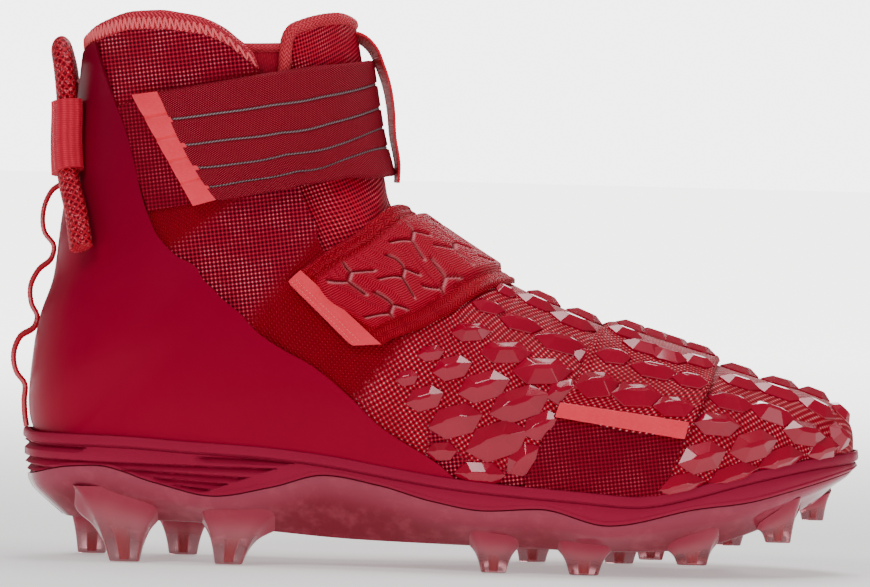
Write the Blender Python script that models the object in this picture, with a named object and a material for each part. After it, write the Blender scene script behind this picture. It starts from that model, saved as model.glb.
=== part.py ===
"""A right-foot american football cleat: a high mesh upper on a moulded plate with studs.

Metres, +Z up, toe at +X, lateral side at -Y. The shoe stands on the flat feet of its studs at Z = 0.
The whole upper comes from one form, lofted through girth stations from the toe to the collar. Each station is a
plane across the shoe from a low point, on the sole's edge or the heel's spine, to a high point on the instep.
"""

import math

import bmesh
import bpy
import numpy as np

# Driving dimensions of the shoe
SHOE_LENGTH = 0.304
BALL_WIDTH = 0.102
COLLAR_HEIGHT = 0.200
CENTRE_ALONG = 0.1492
CENTRE_ACROSS = -0.0010

# Upper, and how far pieces stay apart
WALL = 0.0022
GAP = 0.0003
TUCK = 0.0035

# Low line of the form: the edge of the sole from the toe to the heel, then the spine up to the collar.
# Lengths are shares of SHOE_LENGTH, heights of COLLAR_HEIGHT, half widths of BALL_WIDTH.
HEEL_STATION = 20.0
LOW_LINE = (
    # station, along, height, lateral half width, medial half width
    (0.0, 0.9951, 0.2280, -0.029, 0.029),
    (1.0, 0.9900, 0.2275, 0.069, 0.127),
    (2.0, 0.9800, 0.2260, 0.127, 0.196),
    (3.0, 0.9650, 0.2235, 0.186, 0.255),
    (4.0, 0.9375, 0.2180, 0.260, 0.328),
    (5.0, 0.8950, 0.2050, 0.343, 0.397),
    (6.0, 0.8450, 0.1865, 0.407, 0.446),
    (7.0, 0.7900, 0.1635, 0.456, 0.475),
    (8.0, 0.7300, 0.1465, 0.490, 0.475),
    (9.0, 0.6710, 0.1530, 0.495, 0.446),
    (10.0, 0.6120, 0.1585, 0.475, 0.397),
    (11.0, 0.5530, 0.1645, 0.446, 0.348),
    (12.0, 0.4930, 0.1740, 0.412, 0.304),
    (13.0, 0.4280, 0.1890, 0.377, 0.270),
    (14.0, 0.3620, 0.2045, 0.348, 0.270),
    (15.0, 0.2800, 0.2165, 0.333, 0.304),
    (16.0, 0.1970, 0.2220, 0.330, 0.320),
    (17.0, 0.1250, 0.2285, 0.318, 0.318),
    (18.0, 0.0660, 0.2295, 0.270, 0.270),
    (19.0, 0.0296, 0.2290, 0.186, 0.186),
    (19.5, 0.0171, 0.2285, 0.118, 0.118),
    (20.0, 0.0093, 0.2410, 0.000, 0.000),
    (21.0, 0.0059, 0.2820, 0.000, 0.000),
    (22.0, 0.0095, 0.3550, 0.000, 0.000),
    (23.0, 0.0181, 0.4325, 0.000, 0.000),
    (24.0, 0.0339, 0.5100, 0.000, 0.000),
    (25.0, 0.0405, 0.6000, 0.000, 0.000),
    (26.0, 0.0477, 0.6850, 0.000, 0.000),
    (27.0, 0.0536, 0.7750, 0.000, 0.000),
    (28.0, 0.0582, 0.8500, 0.000, 0.000),
    (29.0, 0.0618, 0.9100, 0.000, 0.000),
    (30.0, 0.0674, 0.9600, 0.000, 0.000),
    (31.0, 0.0757, 1.0150, 0.000, 0.000),
)

# High line of the form: the ridge of the toe box and instep, then the front of the tongue
HIGH_LINE = (
    # station, along, height, off centre to medial
    (0.0, 0.9951, 0.228, 0.029),
    (1.0, 0.9934, 0.260, 0.031),
    (2.0, 0.9836, 0.292, 0.037),
    (3.0, 0.9671, 0.312, 0.039),
    (4.0, 0.9375, 0.330, 0.044),
    (5.0, 0.8882, 0.350, 0.049),
    (6.0, 0.8388, 0.372, 0.049),
    (7.0, 0.7829, 0.396, 0.049),
    (8.0, 0.7171, 0.427, 0.044),
    (9.0, 0.6513, 0.467, 0.039),
    (10.0, 0.5855, 0.511, 0.029),
    (11.0, 0.5210, 0.567, 0.025),
    (12.0, 0.4770, 0.611, 0.020),
    (13.0, 0.4507, 0.640, 0.015),
    (14.0, 0.4326, 0.679, 0.010),
    (15.0, 0.4234, 0.708, 0.005),
    (16.0, 0.4184, 0.733, 0.000),
    (18.0, 0.4105, 0.775, 0.000),
    (20.0, 0.4066, 0.803, 0.000),
    (22.0, 0.4023, 0.840, 0.000),
    (24.0, 0.3977, 0.880, 0.000),
    (26.0, 0.3934, 0.920, 0.000),
    (28.0, 0.3882, 0.960, 0.000),
    (30.0, 0.3816, 1.008, 0.000),
    (31.0, 0.3766, 1.040, 0.000),
)

# Girth of the form. Widest and throat are places on a station's line, 0 at its low point and 1 at its high point.
GIRTH = (
    # station, lateral, medial, widest, throat, fullness
    (0.0, -0.025, 0.035, 0.30, 0.66, 2.2),
    (1.0, 0.090, 0.148, 0.30, 0.66, 2.2),
    (2.0, 0.153, 0.222, 0.30, 0.66, 2.2),
    (3.0, 0.211, 0.280, 0.30, 0.66, 2.2),
    (4.0, 0.285, 0.353, 0.30, 0.66, 2.3),
    (6.0, 0.432, 0.471, 0.28, 0.66, 2.3),
    (8.0, 0.510, 0.500, 0.26, 0.66, 2.2),
    (10.0, 0.495, 0.436, 0.26, 0.68, 2.1),
    (12.0, 0.432, 0.363, 0.28, 0.74, 2.0),
    (13.0, 0.407, 0.338, 0.30, 0.78, 2.0),
    (14.0, 0.378, 0.328, 0.31, 0.71, 2.0),
    (15.0, 0.363, 0.338, 0.32, 0.67, 2.0),
    (16.0, 0.353, 0.343, 0.33, 0.70, 2.0),
    (17.0, 0.348, 0.343, 0.34, 0.755, 2.0),
    (18.0, 0.343, 0.343, 0.35, 0.775, 2.0),
    (19.0, 0.343, 0.343, 0.36, 0.785, 2.0),
    (20.0, 0.343, 0.343, 0.30, 0.79, 2.0),
    (21.0, 0.343, 0.343, 0.32, 0.785, 2.0),
    (22.0, 0.343, 0.343, 0.37, 0.765, 2.0),
    (24.0, 0.343, 0.343, 0.43, 0.72, 2.0),
    (26.0, 0.348, 0.348, 0.46, 0.68, 2.0),
    (28.0, 0.353, 0.353, 0.46, 0.63, 2.0),
    (30.0, 0.358, 0.358, 0.46, 0.57, 2.0),
    (31.0, 0.358, 0.358, 0.46, 0.55, 2.0),
)

# Top edge of the quarters: how high up the stations it lies, from the spine to the throat
COLLAR_LINE = (
    # from spine to throat, station
    (0.00, 29.70),
    (0.27, 30.15),
    (0.46, 30.37),
    (0.61, 30.34),
    (0.72, 30.18),
    (0.82, 29.95),
    (0.90, 29.45),
    (0.95, 28.75),
    (1.00, 28.00),
)

# How squarely a station leaves its low point: upright from the sole's edge, round on the spine
ROUNDNESS = (
    # station, power
    (18.0, 1.80),
    (19.0, 1.40),
    (19.5, 1.15),
    (20.0, 1.00),
)

# Heights along the sole, as shares of COLLAR_HEIGHT: footbed under the insole, and underside of the plate
SOLE_LINE = (
    # along, footbed, underside
    (0.000, 0.155, 0.082),
    (0.040, 0.155, 0.076),
    (0.200, 0.155, 0.073),
    (0.300, 0.150, 0.060),
    (0.400, 0.130, 0.050),
    (0.500, 0.112, 0.047),
    (0.600, 0.097, 0.045),
    (0.700, 0.092, 0.043),
    (0.770, 0.096, 0.046),
    (0.830, 0.120, 0.060),
    (0.870, 0.145, 0.080),
    (0.940, 0.188, 0.125),
    (1.000, 0.202, 0.168),
)

# Wavy top edge of the clear plate, as shares of SHOE_LENGTH and COLLAR_HEIGHT
WAVE_LINE = (
    # along, height
    (0.000, 0.145),
    (0.060, 0.170),
    (0.092, 0.173),
    (0.160, 0.146),
    (0.230, 0.124),
    (0.300, 0.143),
    (0.362, 0.167),
    (0.430, 0.151),
    (0.490, 0.127),
    (0.553, 0.113),
    (0.618, 0.119),
    (0.697, 0.093),
    (0.801, 0.125),
    (0.860, 0.137),
    (0.914, 0.158),
    (1.000, 0.195),
)

# How far the sole's lip stands out from the upper's edge, in shares of BALL_WIDTH
LIP_LINE = (
    # along, reach
    (0.00, 0.036),
    (0.12, 0.031),
    (0.50, 0.029),
    (0.90, 0.027),
    (1.00, 0.018),
)
LIP_HEIGHT = 0.0036
PLATE = 0.0034
SKIRT = 0.0014
INSOLE = 0.0030

# Studs under the plate: places and sizes as shares of SHOE_LENGTH and BALL_WIDTH, foot height of COLLAR_HEIGHT
STUDS = (
    # along, to medial, foot height, foot length, foot width, root length, root width
    (0.080, 0.190, 0.000, 0.034, 0.078, 0.066, 0.130),
    (0.126, -0.225, 0.000, 0.036, 0.078, 0.086, 0.140),
    (0.250, -0.245, 0.000, 0.033, 0.078, 0.074, 0.140),
    (0.190, 0.230, 0.000, 0.034, 0.078, 0.074, 0.140),
    (0.565, -0.325, 0.000, 0.030, 0.080, 0.062, 0.165),
    (0.614, 0.310, 0.000, 0.032, 0.080, 0.064, 0.165),
    (0.672, -0.345, 0.000, 0.035, 0.080, 0.068, 0.170),
    (0.720, 0.340, 0.000, 0.034, 0.080, 0.066, 0.170),
    (0.800, -0.320, 0.022, 0.035, 0.080, 0.064, 0.160),
    (0.851, 0.320, 0.039, 0.032, 0.078, 0.060, 0.155),
    (0.903, -0.215, 0.063, 0.030, 0.076, 0.054, 0.145),
    (0.950, 0.130, 0.095, 0.026, 0.076, 0.044, 0.130),
    (0.755, 0.030, 0.018, 0.028, 0.060, 0.046, 0.105),
)
STUD_SIDES = 10
STUD_RINGS = (
    # from root to foot, share of the way down, share of the taper
    (0.00, 0.00),
    (0.30, 0.52),
    (0.65, 0.82),
    (1.00, 1.00),
)

# Glossy heel panel: the girth share of its front edge at each station
HEEL_PANEL = (
    # station, share
    (11.30, 1.01),
    (11.90, 0.93),
    (13.10, 0.86),
    (13.90, 0.78),
    (15.00, 0.69),
    (17.20, 0.64),
    (20.40, 0.60),
    (22.10, 0.64),
    (24.30, 0.70),
    (26.30, 0.74),
    (27.90, 0.80),
    (29.50, 0.87),
)
PANEL_THICKNESS = 0.0011

# Straps over the instep, crosswise at girth shares: the two stations each one spans there
ANKLE_STRAP = (
    # share, lower station, upper station
    (0.000, 15.30, 26.30),
    (0.100, 15.90, 26.65),
    (0.200, 17.00, 27.10),
    (0.300, 18.70, 27.40),
    (0.400, 20.70, 27.20),
    (0.475, 22.00, 27.35),
)
ANKLE_END = (
    # low share, low station, high share, high station
    (0.548, 23.40, 0.650, 27.55),
    (0.540, 23.15, 0.622, 27.52),
    (0.510, 22.60, 0.550, 27.45),
)
ANKLE_SECTION = (
    # across, height of the band there
    (0.000, 0.35),
    (0.050, 0.95),
    (0.150, 0.95),
    (0.200, 0.35),
    (0.250, 0.98),
    (0.350, 0.98),
    (0.400, 0.35),
    (0.450, 1.00),
    (0.550, 1.00),
    (0.600, 0.35),
    (0.650, 0.98),
    (0.750, 0.98),
    (0.800, 0.35),
    (0.850, 0.95),
    (0.950, 0.95),
    (1.000, 0.35),
)
ANKLE_THICKNESS = 0.0034

MIDFOOT_STRAP = (
    # share, lower station, upper station
    (0.000, 10.05, 13.25),
    (0.100, 10.15, 13.60),
    (0.200, 10.45, 14.60),
    (0.300, 10.85, 15.30),
    (0.400, 11.35, 15.80),
)
MIDFOOT_END = (
    # low share, low station, high share, high station
    (0.605, 12.95, 0.483, 16.20),
    (0.550, 12.45, 0.470, 16.15),
    (0.475, 11.85, 0.440, 15.98),
)
PADDED_SECTION = (
    # across, height of the pad there
    (0.00, 0.30),
    (0.08, 0.78),
    (0.25, 0.96),
    (0.50, 1.00),
    (0.75, 0.96),
    (0.92, 0.78),
    (1.00, 0.30),
)
MIDFOOT_THICKNESS = 0.0040

FOREFOOT_STRAP = (
    # share, front station, rear station
    (0.000, 6.15, 8.30),
    (0.100, 6.20, 8.40),
    (0.200, 6.30, 8.60),
    (0.300, 6.45, 8.80),
    (0.400, 6.60, 8.95),
    (0.475, 6.70, 9.15),
)
FOREFOOT_LATERAL_END = (
    # low share, low station, high share, high station
    (0.500, 6.78, 0.512, 9.25),
)
FOREFOOT_MEDIAL_SIDE = (
    # share, front station, rear station
    (0.550, 6.85, 9.30),
    (0.625, 7.00, 9.50),
    (0.700, 7.15, 9.62),
    (0.775, 7.30, 9.75),
    (0.850, 7.45, 9.95),
)
FOREFOOT_MEDIAL_END = (
    # low share, low station, high share, high station
    (0.885, 7.55, 0.885, 10.05),
)
FLAT_SECTION = (
    # across, height of the strap there
    (0.00, 0.45),
    (0.10, 0.95),
    (0.37, 1.00),
    (0.63, 1.00),
    (0.90, 0.95),
    (1.00, 0.45),
)
FOREFOOT_THICKNESS = 0.0026
STRAP_LIFT = 0.0005

# Pull tabs at the lateral ends of the straps: corners seen from the side, as shares of SHOE_LENGTH and COLLAR_HEIGHT
ANKLE_TAB = ((0.1190, 0.851), (0.1440, 0.860), (0.2160, 0.664), (0.1930, 0.652))
MIDFOOT_TAB = ((0.3046, 0.522), (0.3125, 0.528), (0.4140, 0.394), (0.3915, 0.392))
FOREFOOT_TAB = ((0.6411, 0.305), (0.7940, 0.276), (0.7891, 0.251), (0.6316, 0.288))
TAB_THICKNESS = 0.0030

# Wrap panel from the forefoot strap's tab down to the sole
WRAP_TOP = 0.665
WRAP_THICKNESS = 0.0010

# Tongue: how wide it is at each station
TONGUE_ROWS = (
    # station, girth share of its edge
    (11.7, 0.30),
    (12.4, 0.42),
    (13.0, 0.46),
    (14.0, 0.46),
    (15.0, 0.46),
    (16.0, 0.46),
    (18.0, 0.46),
    (20.0, 0.46),
    (22.0, 0.46),
    (24.0, 0.46),
    (26.0, 0.46),
    (27.0, 0.44),
    (27.5, 0.37),
    (28.3, 0.35),
    (28.7, 0.32),
    (29.0, 0.25),
)
TONGUE_COLUMNS = (-1.0, -0.87, -0.65, -0.435, -0.2175, 0.0, 0.2175, 0.435, 0.65, 0.87, 1.0)
TONGUE_THICKNESS = 0.0030

# Ribbons and the rope: points in the shoe's long plane, as shares of SHOE_LENGTH and COLLAR_HEIGHT
TONGUE_PULL = (
    # along, height
    (0.3945, 0.955),
    (0.4050, 0.938),
    (0.4155, 0.905),
    (0.4237, 0.870),
    (0.4290, 0.828),
    (0.4322, 0.779),
    (0.4385, 0.728),
    (0.4385, 0.695),
)
PULL_WIDTH = 0.012
RIBBON = 0.0009
HEEL_TAPE = (
    # along, height
    (0.0405, 0.705),
    (0.0398, 0.685),
    (0.0250, 0.665),
    (0.0155, 0.630),
    (0.0171, 0.590),
    (0.0290, 0.563),
    (0.0262, 0.542),
    (0.0112, 0.520),
    (0.0020, 0.490),
    (0.0039, 0.457),
    (0.0108, 0.435),
    (0.0080, 0.417),
    (-0.0092, 0.397),
    (-0.0165, 0.365),
    (-0.0125, 0.333),
    (-0.0025, 0.312),
    (-0.0025, 0.280),
    (-0.0008, 0.250),
    (0.0012, 0.2340),
)
TAPE_WIDTH = 0.006
ROPE_PATH = (
    # along, off centre as a share of BALL_WIDTH, height
    (0.0690, 0.3000, 0.565),
    (0.0600, 0.2480, 0.635),
    (0.0495, 0.1850, 0.692),
    (0.0460, 0.1580, 0.750),
    (0.0450, 0.1400, 0.825),
    (0.0400, 0.1180, 0.888),
    (0.0355, 0.0620, 0.918),
    (0.0345, 0.0000, 0.923),
)
ROPE_WIDTH = 0.0095
ROPE_THICKNESS = 0.0046
ROPE_SIDES = 8
SLEEVE_SPAN = (0.700, 0.830)
SLEEVE_WALL = 0.0012

# Binding folded over the collar's edge: out from the upper's face and up from its edge
BINDING_SECTION = (
    # out, up
    (0.0014, -0.0040),
    (0.0003, -0.0040),
    (0.0003, 0.0003),
    (-0.0025, 0.0003),
    (-0.0025, -0.0034),
    (-0.0036, -0.0034),
    (-0.0036, 0.0010),
    (-0.0011, 0.0020),
    (0.0014, 0.0010),
)

# Finish of each part: colour as linear light, roughness, and how clear it is
FINISHES = {
    "upper": ((0.300, 0.006, 0.022), 0.65, 0.0),
    "heel_panel": ((0.280, 0.001, 0.022), 0.34, 0.0),
    "wrap_panel": ((0.240, 0.004, 0.020), 0.60, 0.0),
    "ankle_tab": ((0.700, 0.080, 0.100), 0.36, 0.0),
    "midfoot_tab": ((0.700, 0.085, 0.105), 0.38, 0.0),
    "forefoot_tab": ((0.720, 0.095, 0.115), 0.36, 0.0),
    "tongue": ((0.330, 0.010, 0.030), 0.68, 0.0),
    "collar_binding": ((0.560, 0.040, 0.065), 0.60, 0.0),
    "ankle_strap": ((0.340, 0.010, 0.026), 0.58, 0.0),
    "midfoot_strap": ((0.400, 0.010, 0.035), 0.55, 0.0),
    "forefoot_strap": ((0.320, 0.008, 0.024), 0.60, 0.0),
    "tongue_pull": ((0.640, 0.070, 0.090), 0.50, 0.0),
    "heel_tape": ((0.480, 0.030, 0.050), 0.50, 0.0),
    "heel_rope": ((0.420, 0.014, 0.030), 0.52, 0.0),
    "rope_sleeve_lateral": ((0.560, 0.040, 0.060), 0.50, 0.0),
    "rope_sleeve_medial": ((0.560, 0.040, 0.060), 0.50, 0.0),
    "midsole": ((0.330, 0.018, 0.044), 0.45, 0.0),
    "outsole": ((0.560, 0.180, 0.200), 0.12, 0.7),
    "insole": ((0.220, 0.008, 0.016), 0.80, 0.0),
}
COLLECTION = "football_cleat"

# Where the form is cut into facets
THROAT_STATION = 13.0
THROAT_SHARE = 0.4
FRONT_ROWS = (0, 1, 2, 3, 4, 4.5, 5, 5.5, 6, 6.5, 7, 7.5, 8, 9, 10, 11, 12, 13)
REAR_ROWS = (14, 15, 16, 17, 18, 19, 19.5, 20, 21, 22, 23, 24, 25, 26)
TOP_ROWS = 4
SIDE_COLUMNS = 8
INSTEP_COLUMNS = 4


def curve(table, places):
    """Rows of a table at places along its first column, on a smooth curve that never overshoots its rows."""
    rows = np.asarray(table, float)
    places = np.atleast_1d(np.asarray(places, float))
    knots = rows[:, 0]
    steps = np.diff(knots)
    secants = np.diff(rows, axis=0) / steps[:, None]
    before, after = secants[:-1], secants[1:]
    same_way = before * after > 0.0
    total = np.where(same_way, before + after, 1.0)
    slopes = np.empty_like(rows)
    slopes[0], slopes[-1] = secants[0], secants[-1]
    slopes[1:-1] = np.where(same_way, 2.0 * before * after / total, 0.0)
    places = np.clip(places, knots[0], knots[-1])
    i = np.clip(np.searchsorted(knots, places, side="right") - 1, 0, len(knots) - 2)
    step = steps[i][:, None]
    t = (places - knots[i])[:, None] / step
    start = (2 * t**3 - 3 * t**2 + 1) * rows[i] + (t**3 - 2 * t**2 + t) * step * slopes[i]
    end = (3 * t**2 - 2 * t**3) * rows[i + 1] + (t**3 - t**2) * step * slopes[i + 1]
    return start + end


def half_girth(low, high, edge, widest_y, widest, throat, fullness, power, count):
    """One side of a station from its low point to its high point, with its share of the girth at each point.

    The share is 1 at the low point, THROAT_SHARE at the throat's edge and 0 at the ridge.
    """
    angle = np.linspace(0.0, math.pi / 2, count)
    crest = high[1]
    low_part = widest * (1.0 - np.cos(angle))
    low_y = edge + (widest_y - edge) * np.sin(angle) ** power
    high_part = widest + (1.0 - widest) * np.sin(angle) ** (2.0 / fullness)
    high_y = crest + (widest_y - crest) * np.cos(angle) ** (2.0 / fullness)
    part = np.concatenate((low_part, high_part[1:]))
    across = np.concatenate((low_y, high_y[1:]))
    points = np.column_stack((low[0] + (high[0] - low[0]) * part, across, low[2] + (high[2] - low[2]) * part))
    length = np.concatenate(([0.0], np.cumsum(np.linalg.norm(np.diff(points, axis=0), axis=1))))
    length += np.arange(len(length)) * 1e-12
    to_throat = np.interp(throat, part, length)
    share = np.where(
        length < to_throat,
        1.0 - (1.0 - THROAT_SHARE) * length / to_throat,
        THROAT_SHARE * (length[-1] - length) / (length[-1] - to_throat),
    )
    return points, share


def form_points(station, shares):
    """Points of the form at one station, for girth shares from -1 (lateral edge) through 0 to 1 (medial edge)."""
    low = curve(LOW_LINE, station)[0]
    high = curve(HIGH_LINE, station)[0]
    girth = curve(GIRTH, station)[0]
    tuck = TUCK if station <= HEEL_STATION else 0.0
    low_z = low[2] * COLLAR_HEIGHT - tuck
    power = curve(ROUNDNESS, station)[0, 1]
    top = np.array((high[1] * SHOE_LENGTH, high[3] * BALL_WIDTH, high[2] * COLLAR_HEIGHT))
    base = np.array((low[1] * SHOE_LENGTH, 0.0, low_z))
    found = np.empty((len(shares), 3))
    for side, edge, widest_y in ((-1.0, -low[3], -girth[1]), (1.0, low[4], girth[2])):
        points, share = half_girth(
            base, top, edge * BALL_WIDTH, widest_y * BALL_WIDTH, girth[3], girth[4], girth[5], power, 60
        )
        chosen = shares * side >= 0.0
        for axis in range(3):
            found[chosen, axis] = np.interp(np.abs(shares[chosen]), share[::-1], points[::-1, axis])
    return found


def collar_station(share):
    """How high up the stations the collar's edge lies at a girth share."""
    from_spine = (1.0 - abs(share)) / (1.0 - THROAT_SHARE)
    return curve(COLLAR_LINE, min(max(from_spine, 0.0), 1.0))[0, 1]


class Form:
    """The form of the upper as a grid of points and outward normals, read by station and girth share."""

    def __init__(self):
        side = np.linspace(1.0, THROAT_SHARE, SIDE_COLUMNS + 1)
        instep = np.linspace(THROAT_SHARE, 0.0, INSTEP_COLUMNS + 1)[1:]
        half = np.concatenate((side, instep))
        self.shares = np.concatenate((-half, half[::-1][1:]))
        self.fixed = np.array(FRONT_ROWS + REAR_ROWS, float)
        self.row_count = len(self.fixed) + TOP_ROWS
        self.stations = np.empty((self.row_count, len(self.shares)))
        self.stations[: len(self.fixed)] = self.fixed[:, None]
        tops = np.array([collar_station(share) for share in self.shares])
        for k in range(1, TOP_ROWS + 1):
            row = len(self.fixed) + k - 1
            self.stations[row] = self.fixed[-1] + (tops - self.fixed[-1]) * k / TOP_ROWS
        fine = np.linspace(0.0, 31.0, 249)
        block = np.array([form_points(station, self.shares) for station in fine])
        self.points = np.empty((self.row_count, len(self.shares), 3))
        for column in range(len(self.shares)):
            for axis in range(3):
                self.points[:, column, axis] = np.interp(
                    self.stations[:, column], fine, block[:, column, axis]
                )
        self.points[0] = self.points[0, 0]
        self.normals = self.find_normals()

    def find_normals(self):
        """Outward normals at the grid's points, from the facets that meet there."""
        flat = self.points.reshape(-1, 3)
        total = np.zeros_like(flat)
        for a, b, c in form_faces(self, lambda row, column: True):
            facet = np.cross(flat[b] - flat[a], flat[c] - flat[a])
            for corner in (a, b, c):
                total[corner] += facet
        normals = total.reshape(self.points.shape)
        if normals[5, len(self.shares) // 2, 2] < 0.0:
            normals = -normals
        closed = self.stations[:, 0] >= HEEL_STATION
        open_rows = self.stations[:, 0] <= HEEL_STATION
        for smoothing in (0.0, 0.5, 0.5):
            around = normals.copy()
            around[1:-1] += normals[2:] + normals[:-2]
            around[:, 1:-1] += normals[:, 2:] + normals[:, :-2]
            normals = normals * (1.0 - smoothing) + around * smoothing / 5.0
            normals[0] = normals[0, 0]
            normals[closed, 0, 1] = 0.0
            normals[closed, -1] = normals[closed, 0]
            normals[open_rows, 0, 2] = 0.0
            normals[open_rows, -1, 2] = 0.0
            normals /= np.maximum(np.linalg.norm(normals, axis=2), 1e-15)[:, :, None]
        return normals

    def at(self, station, share, offset=0.0):
        """The point at a station and a girth share, moved out of the form by an offset."""
        share = min(max(share, -1.0), 1.0)
        j = int(np.clip(np.searchsorted(self.shares, share, side="right") - 1, 0, len(self.shares) - 2))
        u = (share - self.shares[j]) / (self.shares[j + 1] - self.shares[j])
        ends = []
        for column in (j, j + 1):
            knots = self.stations[:, column]
            i = int(np.clip(np.searchsorted(knots, station, side="right") - 1, 0, len(knots) - 2))
            t = (station - knots[i]) / (knots[i + 1] - knots[i])
            point = self.points[i, column] * (1 - t) + self.points[i + 1, column] * t
            normal = self.normals[i, column] * (1 - t) + self.normals[i + 1, column] * t
            ends.append((point, normal))
        point = ends[0][0] * (1 - u) + ends[1][0] * u
        normal = ends[0][1] * (1 - u) + ends[1][1] * u
        normal /= np.linalg.norm(normal)
        return point + normal * offset


def finish(name):
    """The part's own material."""
    colour, roughness, clear = FINISHES[name]
    material = bpy.data.materials.new(name + "_finish")
    material.use_nodes = True
    shader = material.node_tree.nodes["Principled BSDF"]
    shader.inputs["Base Color"].default_value = colour + (1.0,)
    shader.inputs["Roughness"].default_value = roughness
    shader.inputs["Metallic"].default_value = 0.0
    shader.inputs["Transmission Weight"].default_value = clear
    return material


def make_object(name, vertices, faces):
    """One closed body from points and faces, placed in the shoe's frame."""
    vertices = np.asarray(vertices, float) - np.array((CENTRE_ALONG, CENTRE_ACROSS, 0.0))
    mesh = bpy.data.meshes.new(name)
    mesh.from_pydata([tuple(point) for point in vertices], [], [tuple(face) for face in faces])
    build = bmesh.new()
    build.from_mesh(mesh)
    bmesh.ops.remove_doubles(build, verts=build.verts, dist=1e-7)
    bmesh.ops.recalc_face_normals(build, faces=build.faces)
    if build.calc_volume(signed=True) < 0.0:
        bmesh.ops.reverse_faces(build, faces=build.faces)
    build.to_mesh(mesh)
    build.free()
    item = bpy.data.objects.new(name, mesh)
    if name in FINISHES:
        mesh.materials.append(finish(name))
    bpy.data.collections[COLLECTION].objects.link(item)
    return item


def thick_sheet(name, outer, inner, faces):
    """A closed body between two sheets that share their faces, with a wall along every free edge."""
    count = len(outer)
    used = {}
    for face in faces:
        for k in range(len(face)):
            a, b = face[k], face[(k + 1) % len(face)]
            used[(min(a, b), max(a, b))] = used.get((min(a, b), max(a, b)), 0) + 1
    solid = [tuple(face) for face in faces]
    solid += [tuple(count + index for index in reversed(face)) for face in faces]
    for face in faces:
        for k in range(len(face)):
            a, b = face[k], face[(k + 1) % len(face)]
            if used[(min(a, b), max(a, b))] == 1:
                solid.append((b, a, count + a, count + b))
    return make_object(name, np.concatenate((outer, inner)), solid)


def form_faces(form, keep):
    """Index quads of the form's grid, welded at the toe and on the spine, for the cells that are kept."""
    columns = len(form.shares)

    def index(row, column):
        if row == 0:
            return 0
        if column == columns - 1 and form.stations[row, 0] >= HEEL_STATION:
            column = 0
        return row * columns + column

    faces = []
    for row in range(form.row_count - 1):
        for column in range(columns - 1):
            if not keep(row, column):
                continue
            corners = [
                index(row, column),
                index(row + 1, column),
                index(row + 1, column + 1),
                index(row, column + 1),
            ]
            for face in (corners[:3], [corners[0], corners[2], corners[3]]):
                if len(set(face)) == 3:
                    faces.append(face)
    return faces


def compact(points, faces):
    """Only the points that faces use, with the faces numbered again."""
    used = sorted({index for face in faces for index in face})
    number = {index: k for k, index in enumerate(used)}
    return [points_set[used] for points_set in points], [[number[index] for index in face] for face in faces]


def build_upper(form):
    """The upper: one hollow wall, open at the collar, the throat and underneath."""
    flat = form.points.reshape(-1, 3)
    normals = form.normals.reshape(-1, 3)
    first_side = SIDE_COLUMNS
    last_side = SIDE_COLUMNS + 2 * INSTEP_COLUMNS

    def keep(row, column):
        in_throat = first_side <= column < last_side
        return not (in_throat and form.stations[row, column] >= THROAT_STATION)

    faces = form_faces(form, keep)
    sheets, faces = compact((flat, flat - normals * WALL), faces)
    return thick_sheet("upper", sheets[0], sheets[1], faces)


def form_rows(form):
    """Each grid point of the form as one row: its place, its normal, its station and its girth share."""
    stations = form.stations.reshape(-1, 1)
    shares = np.tile(form.shares, form.row_count).reshape(-1, 1)
    places = form.points.reshape(-1, 3)
    normals = form.normals.reshape(-1, 3)
    return np.concatenate((places, normals, stations, shares), axis=1)


def clip_sheet(rows, faces, value):
    """The part of a sheet where a value is not negative, cut in straight lines through its faces."""
    values = value(rows)
    rows = list(rows)
    cuts = {}

    def cut(a, b):
        key = (min(a, b), max(a, b))
        if key not in cuts:
            t = values[key[0]] / (values[key[0]] - values[key[1]])
            cuts[key] = len(rows)
            rows.append(rows[key[0]] * (1 - t) + rows[key[1]] * t)
        return cuts[key]

    kept = []
    for face in faces:
        clipped = []
        for k in range(len(face)):
            a, b = face[k], face[(k + 1) % len(face)]
            if values[a] >= 0.0:
                clipped.append(a)
            if (values[a] >= 0.0) != (values[b] >= 0.0):
                clipped.append(cut(a, b))
        if len(clipped) >= 3:
            kept.append(clipped)
    return np.array(rows), kept


def sheet_from_rows(name, rows, faces, low, high):
    """A closed body over the form between two offsets from it."""
    used, faces = compact((rows,), faces)
    rows = used[0]
    normals = rows[:, 3:6] / np.linalg.norm(rows[:, 3:6], axis=1)[:, None]
    return thick_sheet(name, rows[:, :3] + normals * high, rows[:, :3] + normals * low, faces)


def rim_height(along):
    """Height of the sole's rim at lengths along the shoe."""
    table = np.array([row for row in LOW_LINE if row[0] < HEEL_STATION])
    order = np.argsort(table[:, 1])
    return np.interp(along / SHOE_LENGTH, table[order, 1], table[order, 2]) * COLLAR_HEIGHT


def over_rim(rows):
    return rows[:, 2] - rim_height(rows[:, 0]) - 2 * GAP


def build_heel_panel(form):
    """The glossy shell round the heel and over the quarters, from the sole up to the collar's binding."""
    rows = form_rows(form)
    faces = form_faces(form, lambda row, column: True)

    def behind_edge(rows):
        edge = curve(HEEL_PANEL, rows[:, 6])[:, 1]
        return np.abs(rows[:, 7]) - edge

    def under_binding(rows):
        tops = np.array([collar_station(share) for share in rows[:, 7]])
        return tops - 0.62 - rows[:, 6]

    rows, faces = clip_sheet(rows, faces, behind_edge)
    rows, faces = clip_sheet(rows, faces, under_binding)
    rows, faces = clip_sheet(rows, faces, over_rim)
    return sheet_from_rows("heel_panel", rows, faces, GAP, GAP + PANEL_THICKNESS)


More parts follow.
